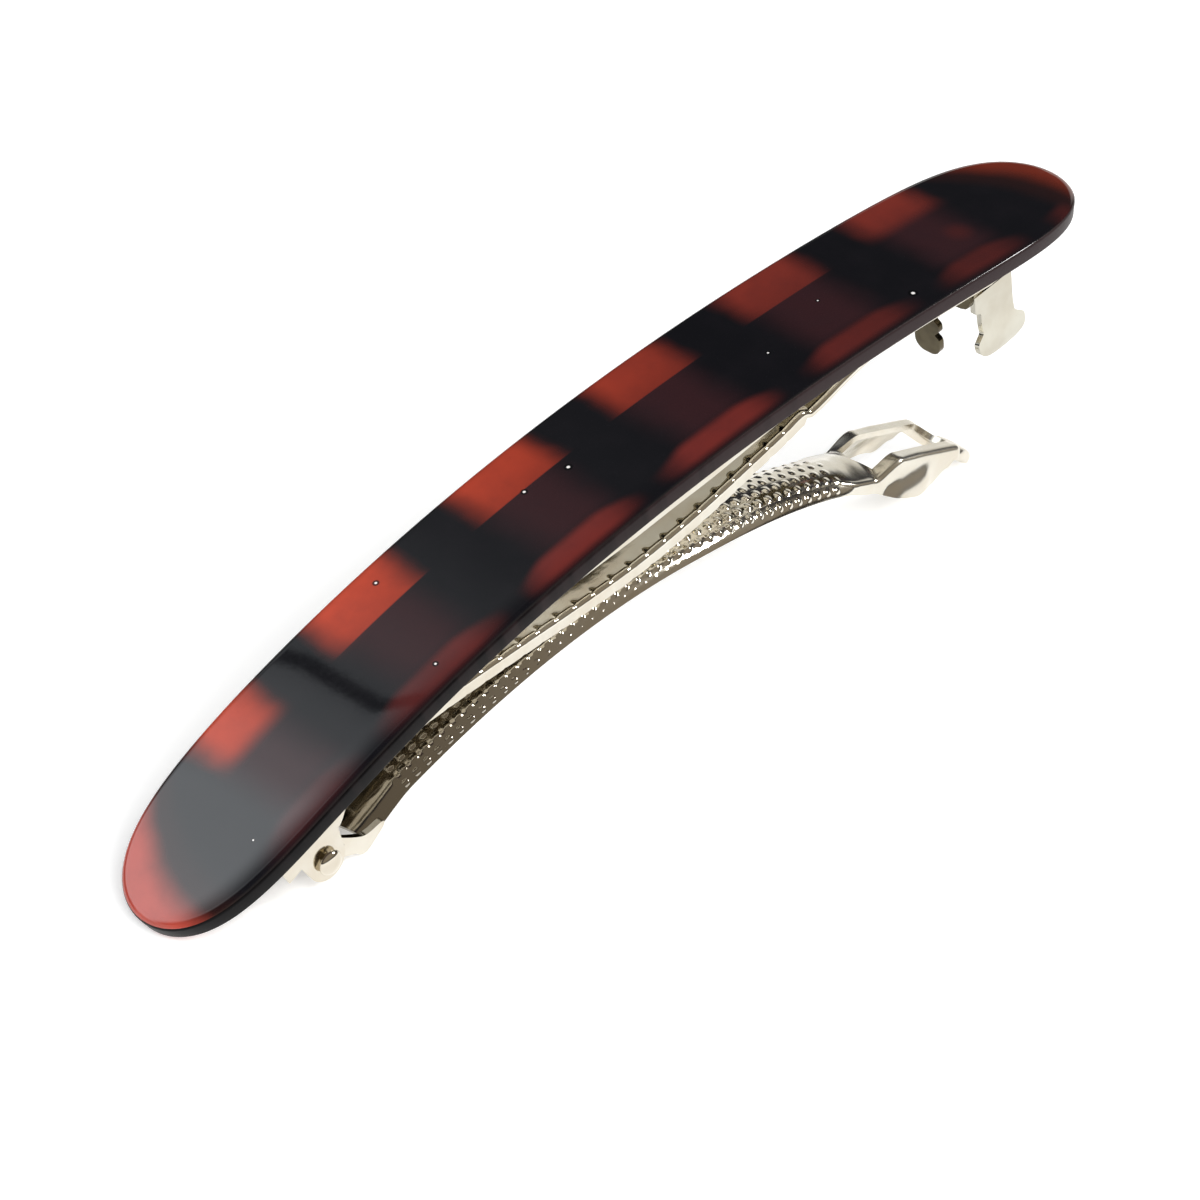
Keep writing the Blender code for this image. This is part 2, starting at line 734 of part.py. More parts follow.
def settle(frame, pieces):
    """Tip the frame until its lowest points at the hinge and at the tip stand level."""
    points = side_view_points(pieces, frame)
    hinge = points[points[:, 0] < 0]
    head = points[points[:, 0] > 0]
    tilt = 0.0
    for _ in range(20):
        heel = hinge[numpy.argmin(hinge[:, 0] * math.sin(tilt) + hinge[:, 2] * math.cos(tilt))]
        toe = head[numpy.argmin(head[:, 0] * math.sin(tilt) + head[:, 2] * math.cos(tilt))]
        tilt = math.atan2(heel[2] - toe[2], toe[0] - heel[0])
    across_floor = points[:, 0] * math.cos(tilt) - points[:, 2] * math.sin(tilt)
    height = points[:, 0] * math.sin(tilt) + points[:, 2] * math.cos(tilt)
    frame.rotation_euler.y = -tilt
    frame.location.x = -(across_floor.min() + across_floor.max()) / 2
    frame.location.z = -height.min()


def main():
    for old in list(bpy.data.objects):
        bpy.data.objects.remove(old)
    parts = bpy.data.collections.new("automatic_barrette")
    bpy.context.scene.collection.children.link(parts)
    frame = bpy.data.objects.new("bar_frame", None)
    parts.objects.link(frame)
    pieces = [
        make_acetate_bar(parts),
        make_base_plate(parts),
        make_tension_bar(parts),
        make_hinge_pin(parts),
        make_clasp_arm(parts),
    ]
    for piece in pieces:
        piece.parent = frame
        if piece.name != "acetate_bar":
            piece.data.shade_smooth()
            piece.data.set_sharp_from_angle(angle=math.radians(35))
    settle(frame, pieces)


main()
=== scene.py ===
"""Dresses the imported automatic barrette: polished laminated acetate over a bright nickel clip.

Shapes are worked out in the bar's own frame, in millimetres: +X from the hinge to the catch, +Y
to the far edge, +Z out of the polished face. to_world() then tips them into the posture in which
the barrette rests.
"""
import math

import bmesh
import bpy
import numpy as np
from mathutils import Matrix, Vector


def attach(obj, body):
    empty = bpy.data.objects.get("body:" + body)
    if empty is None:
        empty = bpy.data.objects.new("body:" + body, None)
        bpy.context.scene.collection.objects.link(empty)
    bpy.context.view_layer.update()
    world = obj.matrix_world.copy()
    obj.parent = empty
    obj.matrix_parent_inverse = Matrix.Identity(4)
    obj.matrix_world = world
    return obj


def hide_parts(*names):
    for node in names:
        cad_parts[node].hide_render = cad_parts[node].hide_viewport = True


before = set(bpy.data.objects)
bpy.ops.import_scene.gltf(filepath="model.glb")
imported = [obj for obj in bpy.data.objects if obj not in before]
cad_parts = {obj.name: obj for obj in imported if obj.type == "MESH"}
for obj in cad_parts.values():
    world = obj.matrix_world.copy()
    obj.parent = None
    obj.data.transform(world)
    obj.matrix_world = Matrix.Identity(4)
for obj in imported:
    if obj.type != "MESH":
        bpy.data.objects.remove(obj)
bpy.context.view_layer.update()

MM = 0.001
TINY = 1e-9
# How the bar's frame lies in the world
TILT = math.radians(-11.15244)
PLACE = (-1.817, 0.0, 19.58137)
FRAME = Matrix.Translation(Vector(PLACE) * MM) @ Matrix.Rotation(TILT, 4, "Y")


def to_world(points):
    """Points in the bar's frame, in millimetres, as world metres."""
    points = np.asarray(points, float).reshape(-1, 3)
    turn = np.array(FRAME.to_3x3())
    return points @ turn.T * MM + np.array(FRAME.translation)


# Camera: azimuth, elevation and roll in degrees, millimetres in the bar's frame, reach in metres
CAMERA_ANGLES, CAMERA_AIM, CAMERA_DISTANCE = (-39.47, 42.906, -9.131), (-3.642, 0, -12.842), 299.535
CAMERA_LENS, CAMERA_SENSOR, CAMERA_NEAR, CAMERA_FAR = 120, 36, 0.01, 20


def linked(name, data):
    made = bpy.data.objects.new(name, data)
    bpy.context.scene.collection.objects.link(made)
    return made


def add_camera():
    """The photograph's camera."""
    azimuth, elevation, roll = (math.radians(angle) for angle in CAMERA_ANGLES)
    back = Vector((
        math.sin(azimuth) * math.cos(elevation),
        -math.cos(azimuth) * math.cos(elevation),
        math.sin(elevation),
    ))
    level = (-back).cross(Vector((0, 0, 1))).normalized()
    upright = level.cross(-back)
    right = math.cos(roll) * level + math.sin(roll) * upright
    up = math.cos(roll) * upright - math.sin(roll) * level
    turn = Matrix((right, up, back)).transposed().to_4x4()
    place = Matrix.Translation((Vector(CAMERA_AIM) + back * CAMERA_DISTANCE) * MM) @ turn
    data = bpy.data.cameras.new("camera")
    data.lens, data.sensor_width = CAMERA_LENS, CAMERA_SENSOR
    data.clip_start, data.clip_end = CAMERA_NEAR, CAMERA_FAR
    camera = linked("camera", data)
    camera.matrix_world = FRAME @ place
    bpy.context.scene.camera = camera


# Tables and curves
def smooth(rows, at):
    """Read a table of (place, value) rows with an easy curve between them."""
    if at <= rows[0][0]:
        return rows[0][1]
    for (a, low), (b, high) in zip(rows, rows[1:]):
        if at <= b:
            share = (at - a) / (b - a)
            return low + (high - low) * share * share * (3 - 2 * share)
    return rows[-1][1]


def curved(rows, at):
    """Read a table of (place, value) rows along a Catmull-Rom curve through them."""
    places = [row[0] for row in rows]
    values = [row[1] for row in rows]
    at = min(max(at, places[0]), places[-1])
    index = min(max(sum(place <= at for place in places) - 1, 0), len(rows) - 2)

    def rise(i):
        low = max(i - 1, 0)
        high = min(i + 1, len(rows) - 1)
        return (values[high] - values[low]) / (places[high] - places[low])

    width = places[index + 1] - places[index]
    t = (at - places[index]) / width
    return (
        values[index] * (1 + 2 * t) * (1 - t) ** 2
        + rise(index) * width * t * (1 - t) ** 2
        + values[index + 1] * t * t * (3 - 2 * t)
        + rise(index + 1) * width * t * t * (t - 1)
    )


def step(low, high, value):
    """0 below low, 1 above high and smooth between, for arrays too."""
    t = np.clip((np.asarray(value, float) - low) / (high - low), 0, 1)
    return t * t * (3 - 2 * t)


# The bar, and the gap and sheet of the clip under it
BAR_LENGTH, BAR_WIDTH, BAR_THICKNESS, BAR_RADIUS = 100, 13.1, 1.6, 160
GAP, SHEET = 0.3, 0.5
# How uneven its bend is: in line with the length along it, and with that length squared
BEND_SLOPE, BEND_CURVE = -0.665, 0.309
BAR_STEPS, FOOT_ROUNDS = 2000, 20


def bar_slope(along):
    """How steeply the bar falls towards +X at a length along it, in radians."""
    half = BAR_LENGTH / 2
    u = np.asarray(along, float) / half
    turned = u + BEND_SLOPE * u * u / 2 + BEND_CURVE * (u ** 3 - u) / 3
    return turned * half / BAR_RADIUS


def bar_curve():
    """The face's middle line in the side view, as arrays of its lengths, x and z."""
    half = BAR_LENGTH / 2
    lengths = np.linspace(-half, half, BAR_STEPS + 1)
    middles = (lengths[1:] + lengths[:-1]) / 2
    width = lengths[1] - lengths[0]
    xs = np.concatenate([[0], np.cumsum(np.cos(bar_slope(middles)) * width)])
    zs = np.concatenate([[0], np.cumsum(-np.sin(bar_slope(middles)) * width)])
    return lengths, xs - np.interp(0, lengths, xs), zs - np.interp(0, lengths, zs)


BAR_CURVE = bar_curve()


def under_bar(along, across, depth):
    """Points at lengths along the bar, distances across it and depths below its face."""
    lengths, xs, zs = BAR_CURVE
    along, across, depth = np.broadcast_arrays(
        np.asarray(along, float), np.asarray(across, float), np.asarray(depth, float)
    )
    slope = bar_slope(along)
    x = np.interp(along, lengths, xs) - np.sin(slope) * depth
    z = np.interp(along, lengths, zs) - np.cos(slope) * depth
    return np.stack([x, across, z], -1)


def along_and_depth(x, z):
    """The length along the bar and the depth below its face of a point in the side view."""
    along = x
    for _ in range(FOOT_ROUNDS):
        foot = under_bar(along, 0, 0)
        slope = float(bar_slope(along))
        along += float((x - foot[0]) * math.cos(slope) - (z - foot[2]) * math.sin(slope))
    foot = under_bar(along, 0, 0)
    return along, math.hypot(x - foot[0], z - foot[2])


# Making meshes
MERGE_REACH = 0.001
# An edge is rounded where its two faces turn by more than this, in degrees
SHEET_CORNER, PLATE_CORNER = 55, 40


def add_piece(name, points, faces, body, nodes, finish, uv=None):
    """A closed piece from points in the bar's frame; it says what it rides on and stands for."""
    mesh = bpy.data.meshes.new(name)
    mesh.from_pydata(to_world(points).tolist(), [], faces)
    bm = bmesh.new()
    bm.from_mesh(mesh)
    bmesh.ops.recalc_face_normals(bm, faces=bm.faces)
    if bm.calc_volume(signed=True) < 0:
        bmesh.ops.reverse_faces(bm, faces=bm.faces)
    bm.to_mesh(mesh)
    bm.free()
    piece = linked(name, mesh)
    mesh.materials.append(finish)
    mesh.shade_smooth()
    if uv is not None:
        layer = mesh.uv_layers.new(name="bar")
        index = np.zeros(len(mesh.loops), int)
        mesh.loops.foreach_get("vertex_index", index)
        layer.data.foreach_set("uv", np.asarray(uv, float)[index].ravel())
    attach(piece, body)
    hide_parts(*nodes)
    return piece


def skin(rows):
    """Faces between each row of point numbers and the next, triangles where two are one point."""
    faces = []
    for low, high in zip(rows, rows[1:]):
        for corners in zip(low, low[1:], high[1:], high):
            face = tuple(dict.fromkeys(corners))
            if len(face) > 2:
                faces.append(face)
    return faces


def round_edges(piece, width, angle):
    bevel = piece.modifiers.new("edge_rounding", "BEVEL")
    bevel.width = width * MM
    bevel.segments = 2
    bevel.limit_method = "ANGLE"
    bevel.angle_limit = math.radians(angle)
    bevel.harden_normals = True


def grid_normals(grid):
    rows = np.gradient(grid, axis=0)
    columns = np.gradient(grid, axis=1)
    normals = np.cross(rows, columns)
    length = np.linalg.norm(normals, axis=-1, keepdims=True)
    return normals / np.maximum(length, TINY)


def sheet_metal(name, grid, thickness, body, nodes, finish, bump=None, keep=None, rounding=0.1):
    """A sheet of metal about a grid of points: both faces and the cut edges.

    bump gives the height of pressed bumps at each point, and keep says which cells aren't cut out.
    """
    normals = grid_normals(grid)
    if bump is not None:
        grid = grid + normals * bump[..., None]
        normals = grid_normals(grid)
    rows, columns = grid.shape[:2]
    if keep is None:
        keep = np.ones((rows - 1, columns - 1), bool)
    upper = (grid + normals * thickness / 2).reshape(-1, 3)
    lower = (grid - normals * thickness / 2).reshape(-1, 3)
    count = rows * columns
    faces = []
    for r, c in zip(*np.nonzero(keep)):
        a = int(r * columns + c)
        b, d, e = a + 1, a + columns, a + columns + 1
        faces.append((a, b, e, d))
        faces.append((a + count, d + count, e + count, b + count))
    padded = np.zeros((rows + 1, columns + 1), bool)
    padded[1:-1, 1:-1] = keep
    for apart, cut in (
        (1, padded[1:, 1:-1] != padded[:-1, 1:-1]), (columns, padded[1:-1, 1:] != padded[1:-1, :-1]),
    ):
        for r, c in zip(*np.nonzero(cut)):
            a = int(r * columns + c)
            faces.append((a, a + apart, a + apart + count, a + count))
    used = np.unique(np.concatenate([np.ravel(face) for face in faces]))
    index = np.full(2 * count, -1)
    index[used] = np.arange(len(used))
    points = np.concatenate([upper, lower])[used]
    faces = [tuple(int(index[i]) for i in face) for face in faces]
    piece = add_piece(name, points, faces, body, nodes, finish)
    round_edges(piece, rounding, SHEET_CORNER)


def soften(outline, rounds=2, cut=0.2):
    """An outline with its corners cut back a little, the way a press leaves them."""
    points = [tuple(point) for point in outline]
    for _ in range(rounds):
        softer = []
        for (x, y), (u, v) in zip(points, points[1:] + points[:1]):
            softer.append((x + (u - x) * cut, y + (v - y) * cut))
            softer.append((u + (x - u) * cut, v + (y - v) * cut))
        points = softer
    return points


def stamped(name, outline, thickness, to_space, body, nodes, finish, rounding=0.1):
    """A plate cut to an outline; to_space puts (right, up, out) into the bar's frame."""
    curve = bpy.data.curves.new(name, "CURVE")
    curve.dimensions = "2D"
    curve.fill_mode = "BOTH"
    curve.extrude = thickness / 2
    line = curve.splines.new("POLY")
    line.points.add(len(outline) - 1)
    for point, (right, up) in zip(line.points, outline):
        point.co = (right, up, 0, 1)
    line.use_cyclic_u = True
    flat = linked(name, curve)
    bpy.context.view_layer.update()
    filled = flat.evaluated_get(bpy.context.evaluated_depsgraph_get())
    made = bpy.data.meshes.new_from_object(filled)
    bpy.data.objects.remove(flat)
    bpy.data.curves.remove(curve)
    bm = bmesh.new()
    bm.from_mesh(made)
    bmesh.ops.remove_doubles(bm, verts=bm.verts, dist=MERGE_REACH)
    points = [to_space(*corner.co) for corner in bm.verts]
    faces = [tuple(corner.index for corner in face.verts) for face in bm.faces]
    bm.free()
    bpy.data.meshes.remove(made)
    piece = add_piece(name, points, faces, body, nodes, finish)
    round_edges(piece, rounding, PLATE_CORNER)


def arc_points(centre, radius, start, end, steps):
    """Points round an arc, with its angles in degrees."""
    for i in range(steps + 1):
        angle = math.radians(start + (end - start) * i / steps)
        yield (centre[0] + radius * math.cos(angle), centre[1] + radius * math.sin(angle))


# Materials
class Nodes:
    """Short names for the few node kinds that the materials and the world use."""

    def __init__(self, tree):
        self.tree = tree

    def add(self, kind, **settings):
        node = self.tree.nodes.new(kind)
        for key, value in settings.items():
            setattr(node, key, value)
        return node

    def link(self, source, target):
        self.tree.links.new(source, target)

    def put(self, socket, value):
        if isinstance(value, bpy.types.NodeSocket):
            self.link(value, socket)
        else:
            socket.default_value = value

    def math(self, operation, a, b=0.0):
        node = self.add("ShaderNodeMath", operation=operation)
        self.put(node.inputs[0], a)
        self.put(node.inputs[1], b)
        return node.outputs[0]

    def plus(self, a, b):
        return self.math("ADD", a, b)

    def minus(self, a, b):
        return self.math("SUBTRACT", a, b)

    def times(self, a, b):
        return self.math("MULTIPLY", a, b)

    def split(self, vector):
        node = self.add("ShaderNodeSeparateXYZ")
        self.link(vector, node.inputs[0])
        return node.outputs

    def away(self, vector, centre):
        """How far a vector is from a fixed centre."""
        node = self.add("ShaderNodeVectorMath", operation="DISTANCE")
        self.link(vector, node.inputs[0])
        node.inputs[1].default_value = centre
        return node.outputs["Value"]

    def mix(self, share, a, b):
        """Colour a, or b where share is 1. Inputs 6 and 7 of the node are its colours."""
        node = self.add("ShaderNodeMix", data_type="RGBA")
        self.put(node.inputs["Factor"], share)
        self.put(node.inputs[6], a)
        self.put(node.inputs[7], b)
        return node.outputs[2]

    def step(self, value, low, high, out_low=0.0, out_high=1.0):
        """out_low below low, out_high above high and smooth between."""
        node = self.add("ShaderNodeMapRange", interpolation_type="SMOOTHSTEP")
        for socket, given in zip(node.inputs, (value, low, high, out_low, out_high)):
            self.put(socket, given)
        return node.outputs[0]

    def noise(self, vector, scale, detail=2.0, roughness=0.5):
        node = self.add("ShaderNodeTexNoise")
        self.put(node.inputs["Vector"], vector)
        for key, value in (("Scale", scale), ("Detail", detail), ("Roughness", roughness)):
            node.inputs[key].default_value = value
        return node.outputs[0]

    def ramp(self, share, stops):
        """A colour ramp with (position, colour) stops, smooth between them."""
        node = self.add("ShaderNodeValToRGB")
        node.color_ramp.interpolation = "EASE"
        elements = node.color_ramp.elements
        while len(elements) > 1:
            elements.remove(elements[-1])
        elements[0].position = stops[0][0]
        elements[0].color = (*stops[0][1], 1)
        for position, shade in stops[1:]:
            element = elements.new(position)
            element.color = (*shade, 1)
        self.put(node.inputs[0], share)
        return node.outputs[0]

    def bump(self, shader, height, strength, distance):
        node = self.add("ShaderNodeBump")
        node.inputs["Strength"].default_value = strength
        node.inputs["Distance"].default_value = distance
        self.link(height, node.inputs["Height"])
        self.link(node.outputs[0], shader.inputs["Normal"])


def new_material(name, slot, look):
    """A material, with its shader and nodes; look holds the shader's plain values."""
    made = bpy.data.materials.new(name)
    made["slot"] = slot
    made.use_nodes = True
    shader = made.node_tree.nodes["Principled BSDF"]
    for key, value in look.items():
        shader.inputs[key].default_value = value
    return made, shader, Nodes(made.node_tree)


def colour(shade):
    """A colour given in the 0 to 255 of a picture, as a shader's linear one."""
    values = []
    for value in shade:
        value /= 255
        values.append(value / 12.92 if value <= 0.04045 else ((value + 0.055) / 1.055) ** 2.4)
    return (*values, 1)


# The red blocks of each strip: where they start and end along the bar, and how blurred they are
FAR_BLOCKS = [
    (-37.7, -32.5), (-25.8, -18.3), (-10.9, -3.6), (3.1, 10.3), (17.5, 25.3), (31.8, 38.6),
]
MIDDLE_BLOCKS = [
    (-37.9, -33.0), (-25.3, -19.4), (-10.5, -4.6), (3.7, 9.6), (18.2, 24.6), (32.6, 38.0),
]
NEAR_BLOCKS = [
    (-40.3, -33.2), (-28.5, -18.8), (-13.5, -4.3), (1.0, 10.7), (16.5, 26.0), (31.5, 38.6),
    (44.8, 55.0),
]
FAR_BLUR, MIDDLE_BLUR, NEAR_BLUR = 3.0, 3.8, 4.6
# Bubbles under the polish: along, across and radius
BUBBLES = [
    (-20.2, 4.6, 0.10), (-7.5, 1.9, 0.11), (-3.7, 1.1, 0.13), (22.4, 0.2, 0.07),
    (28.0, -4.5, 0.15), (-23.1, -4.5, 0.09), (15.0, -1.5, 0.08), (-41.0, -3.4, 0.07),
]
# Colours in the 0 to 255 of a picture, apart from the linear one of a bubble's heart, a painted
# highlight
BLACK, CLOUD_GREY, RING_BLACK, BUBBLE_HIGHLIGHT = (14, 14, 17), (30, 26, 30), (4, 4, 5), (0.82, 0.8, 0.78, 1)
SIDE_LEFT, SIDE_RIGHT = (6, 5, 6), (40, 30, 31)
FAR_RED_LEFT, FAR_RED_RIGHT = (178, 62, 38), (112, 42, 34)
MIDDLE_PURPLE = (46, 25, 28)
NEAR_RED_LEFT, NEAR_RED_MIDDLE, NEAR_RED_RIGHT = (60, 26, 27), (100, 37, 33), (70, 28, 26)
TIP_LEFT, TIP_RIGHT, TIP_BROWN = (168, 68, 56), (104, 38, 24), (34, 18, 17)
# Spans for Nodes.step: from, to and, unless 0 and 1, the values there. Places are on the "bar" map,
# where 1 is the bar's length, and its middle lies at 0.5 along and 0 across.
MIDDLE_NEAR_EDGE = (-0.05, -0.03)
# The near edge span fades the near strip's red to black over the rounded near edge, a painted shade
NEAR_TOP, NEAR_EDGE, NEAR_DOME = (-0.0535, -0.0435, 1.0, 0.0), (-0.0650, -0.0550), 0.0085
NEAR_LEFT_FADE, NEAR_RIGHT_FADE = (0.15, 0.4), (0.55, 0.8)
BLOT_CENTRE, BLOT = (0.87, -0.013, 0), (0.002, 0.017, 0.55, 0.0)
FAR_FADE, FAR_GLOW = (0.2, 0.75), (0.005, 0.058, 0.62, 1.0)
SHARP_BORDER, BLURRED_BORDER = (0.0202, 0.0218), (0.014, 0.034)
BORDER_DRIFT, BORDER_SHARPNESS = (0.6, 0.95, 0.0, 0.003), (0.22, 0.32, 1.0, 0.0)
TIP_SLANT, TIP_BOW, TIP_WANDER, RIGHT_TIP = 0.4, 5.0, 0.6, (0.49, 0.51)
RIGHT_TIP_SHIFT, TIP_BORDER, TIP_START = (0.49, 0.51, 0.0, -0.006), (0.434, 0.458), (0.456, 0.486)
CLOUD, RING, HEART = (0.35, 0.85, 0.0, 0.22), (2.2, 3.2, 0.85, 0.0), (0.7, 1.3, 1.0, 0.0)
WANDER, WANDER_SCALE, CLOUD_SCALE = 0.016, 22.0, 34.0
# The polish: plain values, roughness, marks, waves and relief
ACETATE_LOOK = {"Roughness": 0.045, "IOR": 1.49, "Coat Weight": 0.1, "Coat Roughness": 0.03}
LEAST_ROUGHNESS, POLISH_ROUGHNESS, POLISH_SCALE, POLISH_HEIGHT = 0.035, 0.05, 2600.0, 0.012
WAVE_SCALE, ACETATE_BUMP, ACETATE_RELIEF = 70.0, 0.10, 0.0006
SIDE_LOOK, SIDE_SCALE = {"Roughness": 0.38, "IOR": 1.49, "Specular IOR Level": 0.1}, 60.0
SIDE_CLOUD, SIDE_FADE = (0.3, 0.7, -0.12, 0.12), (0.12, 0.72)


def block_mask(blocks, blur):
    """Ramp stops along the bar: white within each block, with a blurred start and end."""
    stops = [(0.0, (0, 0, 0))]
    for start, end in blocks:
        for place, level in (
            (start - blur / 2, 0), (start + blur / 2, 1), (end - blur / 2, 1), (end + blur / 2, 0),
        ):
            if place < BAR_LENGTH / 2:
                stops.append((place / BAR_LENGTH + 0.5, (level, level, level)))
    return stops


def laminate_colour(n, place):
    """Three strips, far, middle and near, with soft red blocks that show through black."""
    along, across, _ = n.split(place)
    # the blocks' ends wander a little
    wander = n.times(n.minus(n.noise(place, WANDER_SCALE), 0.5), WANDER)
    bowed = n.plus(along, wander)
    far = n.ramp(bowed, block_mask(FAR_BLOCKS, FAR_BLUR))
    middle = n.ramp(bowed, block_mask(MIDDLE_BLOCKS, MIDDLE_BLUR))
    near = n.ramp(bowed, block_mask(NEAR_BLOCKS, NEAR_BLUR))
    middle = n.times(middle, n.step(across, *MIDDLE_NEAR_EDGE))
    body = n.mix(middle, colour(BLACK), colour(MIDDLE_PURPLE))
    # the near strip's blocks have a domed, blurred upper side, and fade to black over the near edge, a
    # painted shade
    dome = n.minus(across, n.times(near, NEAR_DOME))
    near_share = n.times(near, n.step(dome, *NEAR_TOP))
    near_share = n.times(near_share, n.step(across, *NEAR_EDGE))
    near_share = n.math("MAXIMUM", near_share, n.step(n.away(place, BLOT_CENTRE), *BLOT))
    near_red = n.step(along, *NEAR_LEFT_FADE)
    near_red = n.mix(near_red, colour(NEAR_RED_LEFT), colour(NEAR_RED_MIDDLE))
    near_red = n.mix(n.step(along, *NEAR_RIGHT_FADE), near_red, colour(NEAR_RED_RIGHT))
    body = n.mix(near_share, body, near_red)
    # the far strip is brightest at its far edge, and its border is blurred near the bar's ends
    far_red = n.step(along, *FAR_FADE)
    far_red = n.mix(far_red, colour(FAR_RED_LEFT), colour(FAR_RED_RIGHT))
    far_strip = n.mix(n.times(far, n.step(across, *FAR_GLOW)), colour(BLACK), far_red)
    border = n.minus(across, n.step(along, *BORDER_DRIFT))
    from_middle = n.math("ABSOLUTE", n.minus(along, 0.5))
    sharp = n.step(from_middle, *BORDER_SHARPNESS)
    is_far = n.times(n.step(border, *SHARP_BORDER), sharp)
    blurred = n.times(n.step(border, *BLURRED_BORDER), n.minus(1.0, sharp))
    body = n.mix(n.plus(is_far, blurred), body, far_strip)
    # the tips turn red again, with a dark brown border inside
    reach = n.plus(from_middle, n.times(across, TIP_SLANT))
    reach = n.plus(reach, n.times(n.times(across, across), TIP_BOW))
    reach = n.plus(reach, n.step(along, *RIGHT_TIP_SHIFT))
    reach = n.plus(reach, n.times(wander, TIP_WANDER))
    tip = n.mix(n.step(along, *RIGHT_TIP), colour(TIP_LEFT), colour(TIP_RIGHT))
    body = n.mix(n.step(reach, *TIP_BORDER), body, colour(TIP_BROWN))
    body = n.mix(n.step(reach, *TIP_START), body, tip)
    cloud = n.noise(place, CLOUD_SCALE, detail=4.0, roughness=0.6)
    return n.mix(n.step(cloud, *CLOUD), body, colour(CLOUD_GREY))


def with_bubbles(n, place, body):
    """A colour with the bubbles in it, each a pale heart, a painted highlight, in a dark ring."""
    rings, highlights = 0.0, 0.0
    for along, across, radius in BUBBLES:
        centre = (along / BAR_LENGTH + 0.5, across / BAR_LENGTH, 0)
        radii = n.math("DIVIDE", n.away(place, centre), radius / BAR_LENGTH)
        rings = n.math("MAXIMUM", rings, n.step(radii, *RING))
        highlights = n.math("MAXIMUM", highlights, n.step(radii, *HEART))
    # each bubble's pale heart is a painted highlight
    return n.mix(highlights, n.mix(rings, body, colour(RING_BLACK)), BUBBLE_HIGHLIGHT)


def acetate_material():
    """The polished face: the laminate's pattern under fine polishing marks and faint waves."""
    made, shader, n = new_material("polished_acetate", "acetate", ACETATE_LOOK)
    place = n.add("ShaderNodeUVMap", uv_map="bar").outputs[0]
    body = with_bubbles(n, place, laminate_colour(n, place))
    n.link(body, shader.inputs["Base Color"])
    where = n.add("ShaderNodeTexCoord").outputs["Object"]
    waves = n.noise(where, WAVE_SCALE, detail=1.0)
    polish = n.noise(where, POLISH_SCALE)
    rough = n.plus(n.times(polish, POLISH_ROUGHNESS), LEAST_ROUGHNESS)
    n.link(rough, shader.inputs["Roughness"])
    n.bump(shader, n.plus(waves, n.times(polish, POLISH_HEIGHT)), ACETATE_BUMP, ACETATE_RELIEF)
    return made


def side_material():
    """The bar's sawn side: darker and duller than its polished face."""
    made, shader, n = new_material("satin_acetate_side", "acetate", SIDE_LOOK)
    place = n.add("ShaderNodeUVMap", uv_map="bar").outputs[0]
    cloud = n.step(n.noise(place, SIDE_SCALE, detail=3.0), *SIDE_CLOUD)
    share = n.step(n.plus(n.split(place)[0], cloud), *SIDE_FADE)
    n.link(n.mix(share, colour(SIDE_LEFT), colour(SIDE_RIGHT)), shader.inputs["Base Color"])
    return made


# The plating's two tones on each part, darkened by painted shade on the hook and the release ears, and
# the arm's painted shade by the hinge
NICKEL, NICKEL_WARM = (218, 214, 203), (208, 200, 184)
HOOK_SHADED_NICKEL, HOOK_SHADED_NICKEL_WARM = (104, 96, 76), (66, 58, 44)
EAR_SHADED_NICKEL, EAR_SHADED_NICKEL_WARM = (199, 196, 184), (186, 180, 165)
ARM_SHADE = (150, 143, 130)
# Spans of x in metres, where the arm's painted shade ends and where it gets rougher
ARM_SHADE_END, ARM_SATIN = (-0.032, 0.004), (0.016, 0.030, 0.0, 0.15)
NICKEL_LOOK = {"Roughness": 0.14, "Metallic": 1.0}
NICKEL_ROUGHNESS, CLOUDY_ROUGHNESS, FINE_ROUGHNESS = 0.03, 0.08, 0.04
NICKEL_CLOUD, NICKEL_CLOUD_SCALE, FINE_SCALE = (0.3, 0.75), 240.0, 3800.0
# Fine scratches along the clip, the heights of scratches and clouds, and the relief
SCRATCH_SCALE, SCRATCH_HEIGHT, CLOUD_HEIGHT = (60, 2200, 2200), 0.06, 0.8
NICKEL_BUMP, NICKEL_RELIEF = 0.16, 0.0003


def nickel_material(name, pale, warm, shade_end=None):
    """Bright plating, clouded between two tones.

    With a colour given for the hinge end it darkens towards the hinge, a painted shade, and is satin
    from handling towards the tip.
    """
    made, shader, n = new_material(name, "nickel", NICKEL_LOOK)
    where = n.add("ShaderNodeTexCoord").outputs["Object"]
    cloud = n.noise(where, NICKEL_CLOUD_SCALE, detail=3.0, roughness=0.6)
    fine = n.noise(where, FINE_SCALE)
    tone = n.mix(n.step(cloud, *NICKEL_CLOUD), colour(pale), colour(warm))
    rough = n.plus(n.times(cloud, CLOUDY_ROUGHNESS), n.times(fine, FINE_ROUGHNESS))
    if shade_end:
        along = n.split(where)[0]
        # painted shade: darker towards the hinge
        tone = n.mix(n.step(along, *ARM_SHADE_END), colour(shade_end), tone)
        rough = n.plus(rough, n.step(along, *ARM_SATIN))
    n.link(tone, shader.inputs["Base Color"])
    n.link(n.plus(rough, NICKEL_ROUGHNESS), shader.inputs["Roughness"])
    stretched = n.add("ShaderNodeMapping")
    stretched.inputs["Scale"].default_value = SCRATCH_SCALE
    n.link(where, stretched.inputs[0])
    scratches = n.noise(stretched.outputs[0], scale=1.0, detail=3.0)
    height = n.plus(n.times(cloud, CLOUD_HEIGHT), n.times(scratches, SCRATCH_HEIGHT))
    n.bump(shader, height, NICKEL_BUMP, NICKEL_RELIEF)
    return made


# Acetate bar: straight sides out to STRAIGHT_HALF, and ends that round off by a power
STRAIGHT_HALF, END_POWER = 19.5, 7.1
